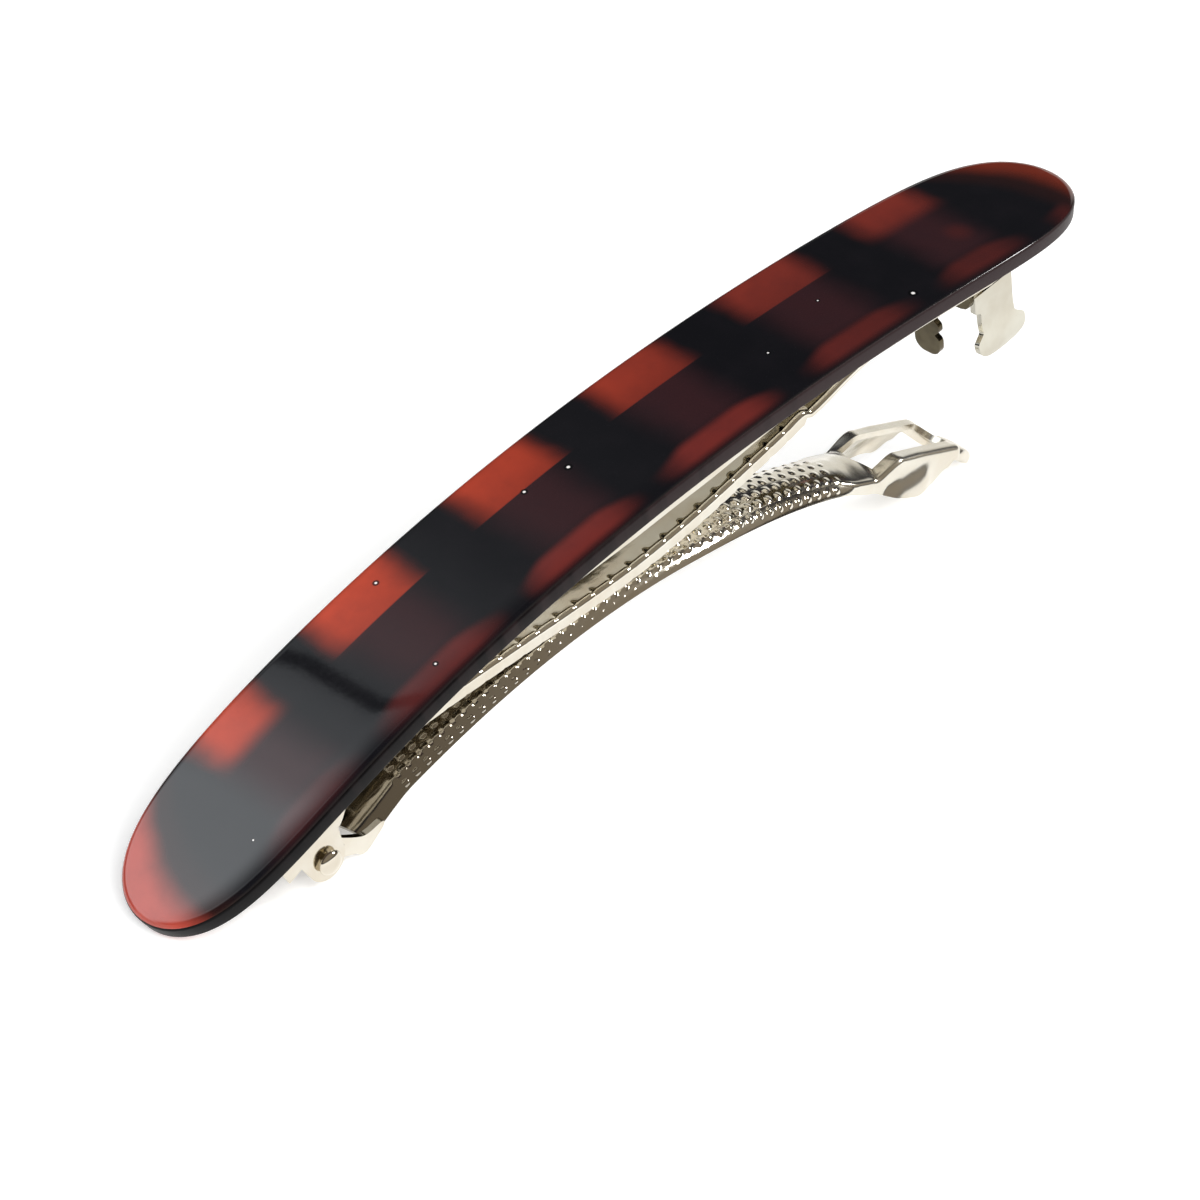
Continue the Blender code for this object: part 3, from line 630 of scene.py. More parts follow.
# Its grid: the turn of an end in degrees, rows round it, rows between the ends, and columns
END_TURN, END_ROWS, BETWEEN_ROWS, FACE_COLUMNS = (90, 21), 42, 160, 33
# The face's crown: its height, how wide its slope is, and how much of it the far edge lacks
CROWN, CROWN_REACH, CROWN_LOSS, CROWN_LOSS_SPAN, CROWN_FACING = 0.11, 2.2, 0.8, (-4.5, 1.5), 0.35
# The rounded edge: how far in and down it reaches, how far underneath, and its steps
EDGE_IN, EDGE_DOWN, EDGE_UNDER, EDGE_STEPS = 0.65, 0.5, 0.14, 8


def bar_outline():
    """Half the bar's outline, from one tip to the other, as (along, across) arrays."""
    half, wide = BAR_LENGTH / 2, BAR_WIDTH / 2
    reach = half - STRAIGHT_HALF
    turns = np.radians(np.linspace(*END_TURN, END_ROWS))
    ends = STRAIGHT_HALF + reach * np.sin(turns) ** (2 / END_POWER)
    ends_across = wide * np.cos(turns)
    ends_across[0] = 0
    straight = np.linspace(ends[-1], -ends[-1], BETWEEN_ROWS)[1:-1]
    share = np.clip((np.abs(straight) - STRAIGHT_HALF) / reach, 0, 1)
    straight_across = wide * np.sqrt(1 - share ** END_POWER)
    along = np.concatenate([-ends, straight[::-1], ends[::-1]])
    across = np.concatenate([ends_across, straight_across[::-1], ends_across[::-1]])
    return along, across


def make_acetate_bar(finish, side_finish):
    """The bar as rings of points: its face, its rounded edge, its side and its underside."""
    shares = np.sin(np.linspace(-math.pi / 2, math.pi / 2, FACE_COLUMNS))
    along, across = bar_outline()
    rise_along, rise_across = np.gradient(along), np.gradient(across)
    length = np.hypot(rise_along, rise_across)
    out = np.stack([-rise_across / length, rise_along / length], 1)
    out[0], out[-1] = (-1, 0), (1, 0)
    count = len(along)
    points, marks, faces = [], [], []

    def crown_at(y):
        return CROWN * (1 - CROWN_LOSS * float(step(*CROWN_LOSS_SPAN, y)))

    def add(a, y, depth):
        points.append(under_bar(a, y, depth).tolist())
        marks.append((a / BAR_LENGTH + 0.5, y / BAR_LENGTH))
        return len(points) - 1

    def face_grid(inset, depth, crowned):
        """Fills the face or the underside, and returns the ring of points round it."""
        rows = []
        for i in range(count):
            a = along[i] - out[i, 0] * inset
            y = across[i] - out[i, 1] * inset
            if i in (0, count - 1):
                rows.append([add(a, 0, depth + crowned * crown_at(0))] * len(shares))
                continue
            row = []
            for share in shares:
                from_edge = y * (1 - abs(share)) * max(out[i, 1], CROWN_FACING)
                fall = crowned * crown_at(y * share) * max(1 - from_edge / CROWN_REACH, 0) ** 2
                row.append(add(a, y * share, depth + fall))
            rows.append(row)
        faces.extend(skin(rows))
        return [row[-1] for row in rows] + [row[0] for row in rows[-2:0:-1]]

    def loop(inset, turned, top):
        """A ring round the bar, part of the way round its upper or lower edge."""
        ring = []
        order = list(range(count)) + list(range(count - 2, 0, -1))
        for place, i in enumerate(order):
            sign = 1 if place < count else -1
            a = along[i] - out[i, 0] * inset
            y = sign * max(across[i] - out[i, 1] * inset, 0)
            if top:
                crown = crown_at(y)
                depth = crown + (EDGE_DOWN - crown) * turned
            else:
                depth = BAR_THICKNESS - EDGE_UNDER * turned
            ring.append(add(a, y, depth))
        return ring

    loops = [face_grid(EDGE_IN, 0, 1)]
    for turn in range(1, EDGE_STEPS + 1):
        angle = math.pi / 2 * turn / EDGE_STEPS
        loops.append(loop(EDGE_IN * (1 - math.sin(angle)), 1 - math.cos(angle), True))
    for turn in range(EDGE_STEPS, 0, -1):
        angle = math.pi / 2 * turn / EDGE_STEPS
        loops.append(loop(EDGE_UNDER * (1 - math.sin(angle)), 1 - math.cos(angle), False))
    loops.append(face_grid(EDGE_UNDER, BAR_THICKNESS, 0))
    side_faces = []
    for level, (upper, lower) in enumerate(zip(loops, loops[1:])):
        band = skin([upper + upper[:1], lower + lower[:1]])
        if EDGE_STEPS // 2 < level < 2 * EDGE_STEPS:
            side_faces += range(len(faces), len(faces) + len(band))
        faces += band
    mesh = add_piece("acetate_face", points, faces, "bar", ["acetate_bar"], finish, marks).data
    mesh.materials.append(side_finish)
    for index in side_faces:
        mesh.polygons[index].material_index = 1


# Base plate with its hinge ears and catch
BASE_START, BASE_END, BASE_HALF_WIDTH, FOLD_RADIUS = -41.4, 39.0, 5.1, 0.7
BASE_DEPTH = BAR_THICKNESS + GAP + SHEET / 2
# How far the folded sides hang, by the length along the bar
BASE_FLANGE = [
    (-41.4, 2.1), (-36.0, 2.1), (-34.0, 0.9), (-15.0, 0.9),
    (-2.0, 1.55), (3.5, 1.55), (14.0, 0.95), (39.0, 0.95),
]
PIN_X, PIN_Z, PIN_RADIUS, PIN_HEAD_RADIUS, PIN_HEAD_HEIGHT = -36.0, -10.5, 0.5, 1.0, 0.5
EAR_RADIUS = 1.8
PIN_ALONG, PIN_DEPTH = along_and_depth(PIN_X, PIN_Z)
# Its grid: degrees between the rows round an ear, and rows before and after
EAR_STEP, ROWS_BEFORE_EARS, ROWS_AFTER_EARS = 4, 12, 230


def ear_depth(along):
    """How deep the channel's lower edge lies, with the round hinge ears in it."""
    even = BASE_DEPTH + smooth(BASE_FLANGE, along)
    away = along - PIN_ALONG
    if abs(away) >= EAR_RADIUS:
        return even
    return max(even, PIN_DEPTH + math.sqrt(EAR_RADIUS ** 2 - away ** 2))


def channel_section(half_width, drop, flats=8, turns=8, drops=6, radius=FOLD_RADIUS):
    """A channel's section from one lower edge to the other, as (across, down) pairs."""
    inner = half_width - radius
    half = [(inner * (i + 0.5) / (flats + 0.5), 0) for i in range(flats + 1)]
    for i in range(1, turns + 1):
        turn = math.pi / 2 * i / turns
        half.append((inner + radius * math.sin(turn), radius * (1 - math.cos(turn))))
    for i in range(1, drops + 1):
        half.append((half_width, radius + (drop - radius) * i / drops))
    return [(-across, down) for across, down in reversed(half)] + half


def make_base_channel(finish):
    turns = np.radians(np.arange(-90, 90 + 1, EAR_STEP))
    ear = [PIN_ALONG + EAR_RADIUS * math.sin(turn) for turn in turns]
    rows = np.concatenate([
        np.linspace(BASE_START, ear[0], ROWS_BEFORE_EARS)[:-1], ear,
        np.linspace(ear[-1], BASE_END, ROWS_AFTER_EARS)[1:],
    ])
    half_width = BASE_HALF_WIDTH - SHEET / 2
    grid = []
    for along in rows:
        section = np.array(channel_section(half_width, ear_depth(along) - BASE_DEPTH))
        grid.append(under_bar(along, section[:, 0], BASE_DEPTH + section[:, 1]))
    sheet_metal("base_channel", np.array(grid), SHEET, "bar", ["base_plate"], finish)


WALL_X, WALL_LOW, WALL_CORNER = 34.0, -7.9, 0.3
HOOK_HALF_WIDTH, HOOK_LOW, HOOK_TOOTH_DEPTH = 1.3, -14.0, 0.45
# Radii of the hook's root and tip, and the wall's rise over the root
HOOK_ROOT, HOOK_TIP, HOOK_ROOT_RISE = 0.5, 1.0, 0.02
# The notches between the hook's teeth: their heights, and the shape of one
HOOK_NOTCHES_Z = (-10.4, -11.9)
HOOK_NOTCH = [(0, 0.45), (HOOK_TOOTH_DEPTH, 0.05), (HOOK_TOOTH_DEPTH, -0.05), (0, -0.35)]


def make_catch_wall(finish):
    """The cross wall under the base plate, with the toothed hook below it."""
    side = BASE_HALF_WIDTH - SHEET / 2
    top = float(under_bar(WALL_X, 0, BASE_DEPTH)[2])
    root = HOOK_HALF_WIDTH + HOOK_ROOT
    half = [
        (side, top), (side, WALL_LOW + WALL_CORNER),
        (root, WALL_LOW + HOOK_ROOT_RISE),
        *arc_points((root, WALL_LOW - HOOK_ROOT), HOOK_ROOT, 100, 180, 4),
    ]
    for middle in HOOK_NOTCHES_Z:
        half += [(HOOK_HALF_WIDTH - inward, middle + rise) for inward, rise in HOOK_NOTCH]
    tip = (HOOK_HALF_WIDTH - HOOK_TIP, HOOK_LOW + HOOK_TIP)
    half += arc_points(tip, HOOK_TIP, 0, -90, 8)
    stamped(
        "catch_wall", soften(half + [(-across, z) for across, z in reversed(half)]), SHEET,
        lambda right, up, out: (WALL_X + out, right, up),
        "bar", ["base_plate"], finish,
    )


STEM_LEFT, STEM_RIGHT, STEM_FOLD_Z, STEM_TOP_DEPTH = 34.65, 38.4, -10.2, 1.0
PADDLE_LOW, PADDLE_HALF_WIDTH, PADDLE_FLARE = -12.4, 2.75, 0.5
PADDLE_HALF_HEIGHT, PADDLE_POWER, PADDLE_LEAST = 1.25, 2.5, 0.04
# How far a release ear stands off the channel's side, and the lip low on its paddle that turns in
EAR_STANDOFF, LIP_RISE, LIP_IN = 0.04, 0.5, 0.04
# Its grid: rows down the stem, to the paddle's middle and round it, and columns
STEM_ROWS, FLARE_ROWS, PADDLE_ROWS, EAR_COLUMNS = 26, 16, 18, 24
# Where the stem widens, over the wall's lower edge, and spreads and bends, over its fold
STEM_SHOULDER, PADDLE_SPREAD, STEM_STRAIGHT = (-0.35, 0.05), (-0.75, 0.1), 0.3
# How far the ear flares out, by height above the stem's fold
EAR_FLARE = [(-1.2, 0.44), (-0.7, 0.34), (-0.2, 0.21), (0.4, 0.07), (1.1, 0.0)]


def make_catch_ear(side, finish):
    """One release ear: a straight stem and the flared paddle below it; side is -1 or 1."""
    middle = (STEM_LEFT + STEM_RIGHT) / 2
    stem = (STEM_RIGHT - STEM_LEFT) / 2
    plane = BASE_HALF_WIDTH - SHEET / 2 + EAR_STANDOFF
    top = float(under_bar(middle, 0, BASE_DEPTH + STEM_TOP_DEPTH)[2])
    paddle_middle = PADDLE_LOW + PADDLE_HALF_HEIGHT
    straight_end = STEM_FOLD_Z + STEM_STRAIGHT
    down_to_middle = np.cos(np.linspace(0, math.pi / 2, FLARE_ROWS))
    below_middle = np.sin(np.linspace(0, math.pi / 2, PADDLE_ROWS))[1:]
    heights = np.concatenate([
        np.linspace(top, straight_end, STEM_ROWS)[:-1],
        paddle_middle + (straight_end - paddle_middle) * down_to_middle,
        paddle_middle - PADDLE_HALF_HEIGHT * below_middle,
    ])
    outward_rows = [
        (PADDLE_LOW, PADDLE_FLARE - LIP_IN), (PADDLE_LOW + LIP_RISE, PADDLE_FLARE),
        *((STEM_FOLD_Z + rise, out) for rise, out in EAR_FLARE), (top, 0.0),
    ]
    grid = []
    for z in heights:
        shoulder = float(step(*(WALL_LOW + rise for rise in STEM_SHOULDER), z))
        spread = 1 - float(step(*(STEM_FOLD_Z + rise for rise in PADDLE_SPREAD), z))
        left = -stem - shoulder * (STEM_LEFT - WALL_X)
        left += (-PADDLE_HALF_WIDTH - left) * spread
        right = stem + (PADDLE_HALF_WIDTH - stem) * spread
        if z < paddle_middle:
            reach = min((paddle_middle - z) / PADDLE_HALF_HEIGHT, 1)
            narrow = max((1 - reach ** PADDLE_POWER) ** (1 / PADDLE_POWER), PADDLE_LEAST)
            left, right = left * narrow, right * narrow
        out = side * (plane + curved(outward_rows, z))
        grid.append([
            (middle + left + (right - left) * k / EAR_COLUMNS, out, z)
            for k in range(EAR_COLUMNS + 1)
        ])
    name = "release_ear_near" if side < 0 else "release_ear_far"
    sheet_metal(name, np.array(grid), SHEET, "bar", ["base_plate"], finish)


# Tension bar by x: the leaf's height, half width and flange, then its grid and dimples
LEAF_HEIGHT = [
    (-31.0, -6.3), (-22.0, -6.7), (-14.8, -7.3), (-8.0, -7.95), (-2.4, -8.3), (2.5, -8.2),
    (6.0, -7.95), (10.4, -7.45), (14.4, -6.95), (16.2, -6.65), (17.2, -7.05), (21.4, -6.35),
    (25.0, -5.9), (31.0, -5.2),
]
LEAF_HALF_WIDTH = [(-31.0, 2.2), (-27.0, 3.2), (24.0, 3.15), (31.0, 2.2)]
LEAF_FLANGE = [(-31.0, 0.8), (-25.0, 1.0), (16.1, 1.0), (16.6, 0.4), (31.0, 0.4)]
LEAF_SHEET, LEAF_ROWS = 0.4, 480
LEAF_COLUMNS = {"flats": 18, "turns": 6, "drops": 5, "radius": 0.3}
LEAF_DIMPLES = {"pitch": 1.9, "row_pitch": 2.96, "radius": 0.4, "height": 0.1, "rows": 1}
LEAF_DIMPLED, LEAF_PLAIN = (-25, -23), (14, 16)
# The power that shapes the side of a dimple, here and on the arm
DIMPLE_POWER = 1.5


def dimples(length, across, pitch, row_pitch, radius, height, rows):
    """Heights of round bumps in staggered rows."""
    total = np.zeros(np.broadcast(length, across).shape)
    for row in range(-rows, rows + 1):
        shift = (row % 2) * pitch / 2
        near = (length - shift + pitch / 2) % pitch - pitch / 2
        away = np.sqrt(near ** 2 + (across - row * row_pitch) ** 2) / radius
        total = np.maximum(total, np.clip(1 - away ** 2, 0, 1) ** DIMPLE_POWER)
    return total * height


def make_tension_bar(finish):
    """The bowed leaf, with a row of dimples down its middle and one by each edge."""
    xs = np.linspace(LEAF_HEIGHT[0][0], LEAF_HEIGHT[-1][0], LEAF_ROWS)
    grid, across_rows = [], []
    for x in xs:
        section = channel_section(smooth(LEAF_HALF_WIDTH, x), smooth(LEAF_FLANGE, x), **LEAF_COLUMNS)
        z = curved(LEAF_HEIGHT, x)
        grid.append([(x, across, z - down) for across, down in section])
        across_rows.append([across for across, _ in section])
    lengths = xs[:, None]
    bump = dimples(lengths, np.array(across_rows), **LEAF_DIMPLES)
    bump *= step(*LEAF_DIMPLED, lengths) * (1 - step(*LEAF_PLAIN, lengths))
    sheet_metal(
        "sprung_leaf", np.array(grid), LEAF_SHEET, "bar", ["tension_bar"], finish, bump=-bump,
        rounding=0.08,
    )


# Clasp arm in the side view: a strip bent to an arc, a nearly straight head and a curled tip
ARM_RADIUS, ARM_TOP_X, ARM_TOP_Z, ARM_START_X = 75, -12.5, -9.2, -31.9
ARM_HEAD_ANGLE, HEAD_SLOPE = math.radians(27), math.radians(28.5)
HEAD_LENGTH, HEAD_EASE = 15.3, 2
CURL_RADIUS, TIP_CURL, TIP_END = 3, math.radians(40), 0.6
ARM_START = math.asin((ARM_START_X - ARM_TOP_X) / ARM_RADIUS)
STRIP_LENGTH = (ARM_HEAD_ANGLE - ARM_START) * ARM_RADIUS


def arm_line(length):
    """Middle line of the arm in the side view: its point and the angle it slopes down."""
    turned = min(ARM_START + length / ARM_RADIUS, ARM_HEAD_ANGLE)
    x = ARM_TOP_X + ARM_RADIUS * math.sin(turned)
    z = ARM_TOP_Z - ARM_RADIUS + ARM_RADIUS * math.cos(turned)
    beyond = length - STRIP_LENGTH
    if beyond <= 0:
        return x, z, turned
    flat = min(beyond, HEAD_LENGTH)
    x += flat * math.cos(HEAD_SLOPE)
    z -= flat * math.sin(HEAD_SLOPE)
    beyond -= flat
    if beyond <= 0:
        eased = min(flat / HEAD_EASE, 1)
        return x, z, ARM_HEAD_ANGLE + (HEAD_SLOPE - ARM_HEAD_ANGLE) * eased
    curl = min(beyond / CURL_RADIUS, TIP_CURL)
    x += CURL_RADIUS * (math.sin(HEAD_SLOPE + curl) - math.sin(HEAD_SLOPE))
    z -= CURL_RADIUS * (math.cos(HEAD_SLOPE) - math.cos(HEAD_SLOPE + curl))
    straight = beyond - curl * CURL_RADIUS
    x += straight * math.cos(HEAD_SLOPE + curl)
    z -= straight * math.sin(HEAD_SLOPE + curl)
    return x, z, HEAD_SLOPE + curl


# By the length from the head's start: half width, and heights of middle, edges and lower edges
ARM_HALF_WIDTH = [
    (-54.7, 3.9), (-49.5, 3.4), (-20.0, 3.15), (-2.0, 2.6), (2.5, 2.65),
    (5.4, 2.8), (12.6, 2.8), (14.6, 1.6), (16.5, 1.4), (18.9, 0.9),
]
ARM_MIDDLE = [(0.5, 0), (2.4, 0.1), (5.6, 1.0), (12.2, 1.1), (15.0, 0)]
ARM_EDGE = [(2.7, -0.8), (5.6, 1.0), (8.4, 1.15), (12.6, 1.2), (15.0, -0.1)]
ARM_LOW = [
    (-0.5, -1.35), (2.4, -1.5), (5.0, -1.9), (7.1, -1.9),
    (9.4, -1.35), (11.4, -0.3), (12.4, 0.3), (14.8, -0.65),
]
# The strip is an arch, which turns into the head's folded section over a span
ARCH_END, ARCH_SAMPLES, STRIP_LOW, ARCH_TO_HEAD = math.radians(71.7), 400, -1.35, (-2.2, 0.8)
# The window: where it starts, is full and ends, and how its far end rounds off
WINDOW_START, WINDOW_CORNER, WINDOW_END, WINDOW_HALF_WIDTH = 2.3, 3.3, 13.3, 1.75
WINDOW_ROUNDING, WINDOW_POWER, WINDOW_LEAST = 1.2, 2.4, 0.02
# Spans over which the grid's columns close in on the window, and leave it
COLUMNS_IN, COLUMNS_OUT = (0.6, WINDOW_START), (WINDOW_END, 15.2)
# Finger wings: the fold that they hang from, their flare and least hang
HEAD_FOLD_RADIUS, WING_FLARE, WING_LEAST = 0.3, 0.16, 0.2
# The fold pressed across a wing: its depth, spread, place and climb, and where it comes and goes
FOLD_DEPTH, FOLD_SPREAD = 0.66, 0.36
FOLD_LOW, FOLD_CLIMB, FOLD_START, FOLD_LENGTH = 0.9, 0.62, 3.6, 5.2
FOLD_HANG, FOLD_COMES, FOLD_GOES = (1.0, 1.8), (2.6, 4.2), (8.2, 10.2)
# Columns from the middle: cut by the window, all on top, round the fold and down a wing
WINDOW_COLUMNS, TOP_COLUMNS, FOLD_COLUMNS, WING_COLUMNS = 10, 22, 5, 14
# Rows along the strip, to the window, its near corner, its sides, its far end, the rest, the tip
STRIP_ROWS, LEAD_ROWS, CORNER_ROWS, SIDE_ROWS, ROUND_ROWS = 400, 24, 12, 70, 14
TAIL_ROWS, TIP_ROWS = 20, 26
# The strip's first rows bow out, and the tip's corners are round
ARM_END_BOW, BOW_REACH, BOW_ROWS = 0.27, 3.9, 6
TIP_ROUNDING, TIP_LEAST = 1.0, 0.05
# Dimples: spans where they start, end and get fainter, by how much, and the plain rim
ARM_DIMPLES = {"pitch": 1.16, "row_pitch": 0.86, "radius": 0.33, "height": 0.15, "rows": 5}
DIMPLES_START, DIMPLES_END = (-50.6, -50.2), (-1.5, -0.7)
DIMPLES_FAINTER, DIMPLES_LOSS = (-14.0, -4.0), 0.4
RIM_START, RIM_END = 0.42, 0.3


def window_edge(from_head):
    """Half the window's width at a length from the head's start, 0 outside it."""
    if from_head < WINDOW_START or from_head > WINDOW_END:
        return 0
    if from_head < WINDOW_CORNER:
        return WINDOW_HALF_WIDTH * (from_head - WINDOW_START) / (WINDOW_CORNER - WINDOW_START)
    beyond = max(from_head - (WINDOW_END - WINDOW_ROUNDING), 0) / WINDOW_ROUNDING
    return WINDOW_HALF_WIDTH * math.sqrt(max(1 - beyond ** WINDOW_POWER, 0))


def arch_half(half_width, count):
    """Half the strip's arched section in even steps of its own length, and those lengths."""
    turn = np.linspace(0, ARCH_END, ARCH_SAMPLES)
    share = np.sin(turn) / math.sin(ARCH_END)
    rise = STRIP_LOW * (1 - np.cos(turn)) / (1 - math.cos(ARCH_END))
    run = np.concatenate([[0], np.cumsum(np.hypot(np.diff(share) * half_width, np.diff(rise)))])
    even = np.linspace(0, run[-1], count)
    return np.interp(even, run, share * half_width), np.interp(even, run, rise), even


def wing_fold(from_head, hang):
    """Where down a wing its pressed fold lies, as a share of its hang, and how deep it is."""
    climbed = FOLD_CLIMB * (from_head - FOLD_START) / FOLD_LENGTH
    depth = FOLD_DEPTH * FOLD_SPREAD * hang * float(step(*FOLD_HANG, hang))
    shown = step(*FOLD_COMES, from_head) * (1 - step(*FOLD_GOES, from_head))
    return FOLD_LOW - climbed, depth * float(shown)


def head_half(from_head, half_width):
    """Half the head's section, out from its middle and down its wing, as (across, rise) rows."""
    middle, edge, low = (smooth(rows, from_head) for rows in (ARM_MIDDLE, ARM_EDGE, ARM_LOW))
    top = half_width - HEAD_FOLD_RADIUS
    even = top * WINDOW_COLUMNS / TOP_COLUMNS
    near_window = float(step(*COLUMNS_IN, from_head) * (1 - step(*COLUMNS_OUT, from_head)))
    inner = even + (max(window_edge(from_head), WINDOW_LEAST) - even) * near_window
    half = []
    for k in range(TOP_COLUMNS + 1):
        if k <= WINDOW_COLUMNS:
            y = inner * k / WINDOW_COLUMNS
        else:
            y = inner + (top - inner) * (k - WINDOW_COLUMNS) / (TOP_COLUMNS - WINDOW_COLUMNS)
        half.append((y, middle + (edge - middle) * (y / half_width) ** 2))
    top_rise = half[-1][1]
    for k in range(1, FOLD_COLUMNS + 1):
        turn = math.pi / 2 * k / FOLD_COLUMNS
        rise = top_rise - HEAD_FOLD_RADIUS * (1 - math.cos(turn))
        half.append((top + HEAD_FOLD_RADIUS * math.sin(turn), rise))
    hang = max(top_rise - HEAD_FOLD_RADIUS - low, WING_LEAST)
    place, depth = wing_fold(from_head, hang)
    for k in range(1, WING_COLUMNS + 1):
        share = k / WING_COLUMNS
        fold = math.tanh((share - place) / FOLD_SPREAD) + math.tanh(place / FOLD_SPREAD)
        y = half_width + hang * share * WING_FLARE + depth * (fold - share)
        half.append((y, top_rise - HEAD_FOLD_RADIUS - hang * share))
    return np.array(half)


def arm_section(from_head):
    """A section of the arm from one lower edge to the other, as (across, rise, run) rows."""
    half_width = smooth(ARM_HALF_WIDTH, from_head)
    half = head_half(from_head, half_width)
    arch_across, arch_rise, run = arch_half(half_width, len(half))
    share = float(step(*ARCH_TO_HEAD, from_head))
    across = arch_across + (half[:, 0] - arch_across) * share
    rise = arch_rise + (half[:, 1] - arch_rise) * share
    rows = np.stack([across, rise, run], 1)
    return np.concatenate([rows[:0:-1] * (-1, 1, -1), rows])


def arm_rows():
    """Lengths of the arm's rows from the head's start, closest where the shape changes most."""
    round_start = WINDOW_END - WINDOW_ROUNDING
    return np.concatenate([
        np.linspace(-STRIP_LENGTH, 0, STRIP_ROWS),
        np.linspace(0, WINDOW_START, LEAD_ROWS)[1:],
        np.linspace(WINDOW_START, WINDOW_CORNER, CORNER_ROWS)[1:],
        np.linspace(WINDOW_CORNER, round_start, SIDE_ROWS)[1:],
        round_start + WINDOW_ROUNDING * np.sin(np.linspace(0, math.pi / 2, ROUND_ROWS))[1:],
        np.linspace(WINDOW_END, HEAD_LENGTH, TAIL_ROWS)[1:],
        HEAD_LENGTH + np.linspace(0, TIP_CURL * CURL_RADIUS + TIP_END, TIP_ROWS)[1:],
    ])


def make_clasp_arm(finish):
    """The dimpled strip, and the head with its window, finger wings and curled tip."""
    rows = arm_rows()
    grid, lengths, runs = [], [], []
    for index, from_head in enumerate(rows):
        section = arm_section(from_head)
        to_tip = (rows[-1] - from_head) / TIP_ROUNDING
        narrow = math.sqrt(1 - (1 - to_tip) ** 2) if to_tip < 1 else 1
        narrow = max(narrow, TIP_LEAST)
        line = []
        for across, rise, _ in section:
            bow = ARM_END_BOW * max(BOW_REACH - abs(across), 0) * max(1 - index / BOW_ROWS, 0)
            x, z, slope = arm_line(STRIP_LENGTH + from_head - bow)
            line.append((x + rise * math.sin(slope), across * narrow, z + rise * math.cos(slope)))
        grid.append(line)
        lengths.append([from_head] * len(section))
        runs.append(section[:, 2])
    grid, lengths, runs = np.array(grid), np.array(lengths), np.array(runs)
    bump = dimples(lengths, runs, **ARM_DIMPLES)
    bump *= step(*DIMPLES_START, lengths) * (1 - step(*DIMPLES_END, lengths))
    bump *= 1 - DIMPLES_LOSS * step(*DIMPLES_FAINTER, lengths)
    edge = runs[:, -1:]
    bump *= 1 - step(edge - RIM_START, edge - RIM_END, np.abs(runs))
    centre = grid.shape[1] // 2
    keep = np.ones((len(rows) - 1, grid.shape[1] - 1), bool)
    for r in range(len(rows) - 1):
        if rows[r] >= WINDOW_START - TINY and rows[r + 1] <= WINDOW_END + TINY:
            keep[r, centre - WINDOW_COLUMNS:centre + WINDOW_COLUMNS] = False
    sheet_metal(
        "dimpled_arm", grid, SHEET, "arm", ["clasp_arm"], finish, bump=bump, keep=keep,
        rounding=0.12,
    )


# A lug in the side view: round the rivet and its toe, then back by the strip
LUG_RADIUS, LUG_OUTER, LUG_TOE, LUG_TOE_RADIUS = 1.45, 4.25, (-32.1, -12.8), 0.75
LUG_BACK = [(-30.0, -12.4), (-30.0, -11.9), (-31.8, -12.1), (-33.0, -11.3)]


def make_lug(side, finish):
    outline = [
        *arc_points((PIN_X, PIN_Z), LUG_RADIUS, 70, 300, 24),
        *arc_points(LUG_TOE, LUG_TOE_RADIUS, 200, 300, 8),
        *LUG_BACK,
    ]
    across = side * (LUG_OUTER - SHEET / 2)
    stamped(
        "lug_near" if side < 0 else "lug_far", soften(outline), SHEET,
        lambda right, up, out: (right, across + out, up), "arm", ["clasp_arm"], finish, rounding=0.08,
    )


# The rivet: steps up a dome, steps round, and its neck as a share of the head
DOME_STEPS, RIVET_TURNS, RIVET_NECK = 12, 48, 0.93


def make_hinge_pin(finish):
    """A rivet turned about the hinge's axis, with a hammered dome at each end."""
    shoulder = BASE_HALF_WIDTH + GAP
    upper = [
        (PIN_HEAD_RADIUS * math.cos(turn), shoulder + PIN_HEAD_HEIGHT * math.sin(turn))
        for turn in np.radians(np.linspace(90, 0, DOME_STEPS))
    ]
    upper += [(PIN_HEAD_RADIUS * RIVET_NECK, shoulder), (PIN_RADIUS, shoulder)]
    profile = upper + [(radius, -height) for radius, height in reversed(upper)]
    points, rings = [], []
    for radius, height in profile:
        if radius < TINY:
            points.append((PIN_X, height, PIN_Z))
            rings.append([len(points) - 1] * (RIVET_TURNS + 1))
            continue
        ring = []
        for k in range(RIVET_TURNS):
            angle = 2 * math.pi * k / RIVET_TURNS
            x, z = PIN_X + radius * math.cos(angle), PIN_Z + radius * math.sin(angle)
            points.append((x, height, z))
            ring.append(len(points) - 1)
        rings.append(ring + ring[:1])
    add_piece("hinge_rivet", points, skin(rings), "bar", ["hinge_pin"], finish)


# Studio, by direction: dull in front and dark overhead and behind, with a pale patch low behind
# and a dark one low in front, as colours with their spans of north (+Y) and of rise (+Z)
FRONT_DULL, BACK_DARK, FRONT_TO_BACK = (0.30, 0.26, 0.21, 1), (0.035, 0.035, 0.04, 1), (-0.5, -0.15)
PATCHES = [
    ((0.98, 0.97, 0.93, 1), [(0.0, 0.3), (0.66, 0.74, 1.0, 0.0)], (0.34, 0.43, 1.0, 0.0)),
    ((0.05, 0.045, 0.04, 1), [(-0.5, -0.2, 1.0, 0.0)], (0.08, 0.2, 1.0, 0.0)),
]
# A hazy window high on the left, crossed by a thin dark bar: its brightness from west to east,
# the ramp's width and peak, its tint, and where it starts
HAZE = [
    (-0.45, 3.0), (-0.25, 2.6), (-0.17, 1.5), (-0.09, 0.95), (-0.056, 0.8), (-0.049, 0.03),
    (-0.033, 0.03), (-0.026, 0.62), (0.03, 0.48), (0.10, 0.34), (0.2, 0.16), (0.32, 0.06),
    (0.45, 0.0),
]
HAZE_SPAN, HAZE_PEAK, HAZE_TINT = 0.9, 3.0, (0.95, 1.0, 1.04)
HAZE_NORTH, HAZE_RISE = (0.38, 0.56), (0.25, 0.45)
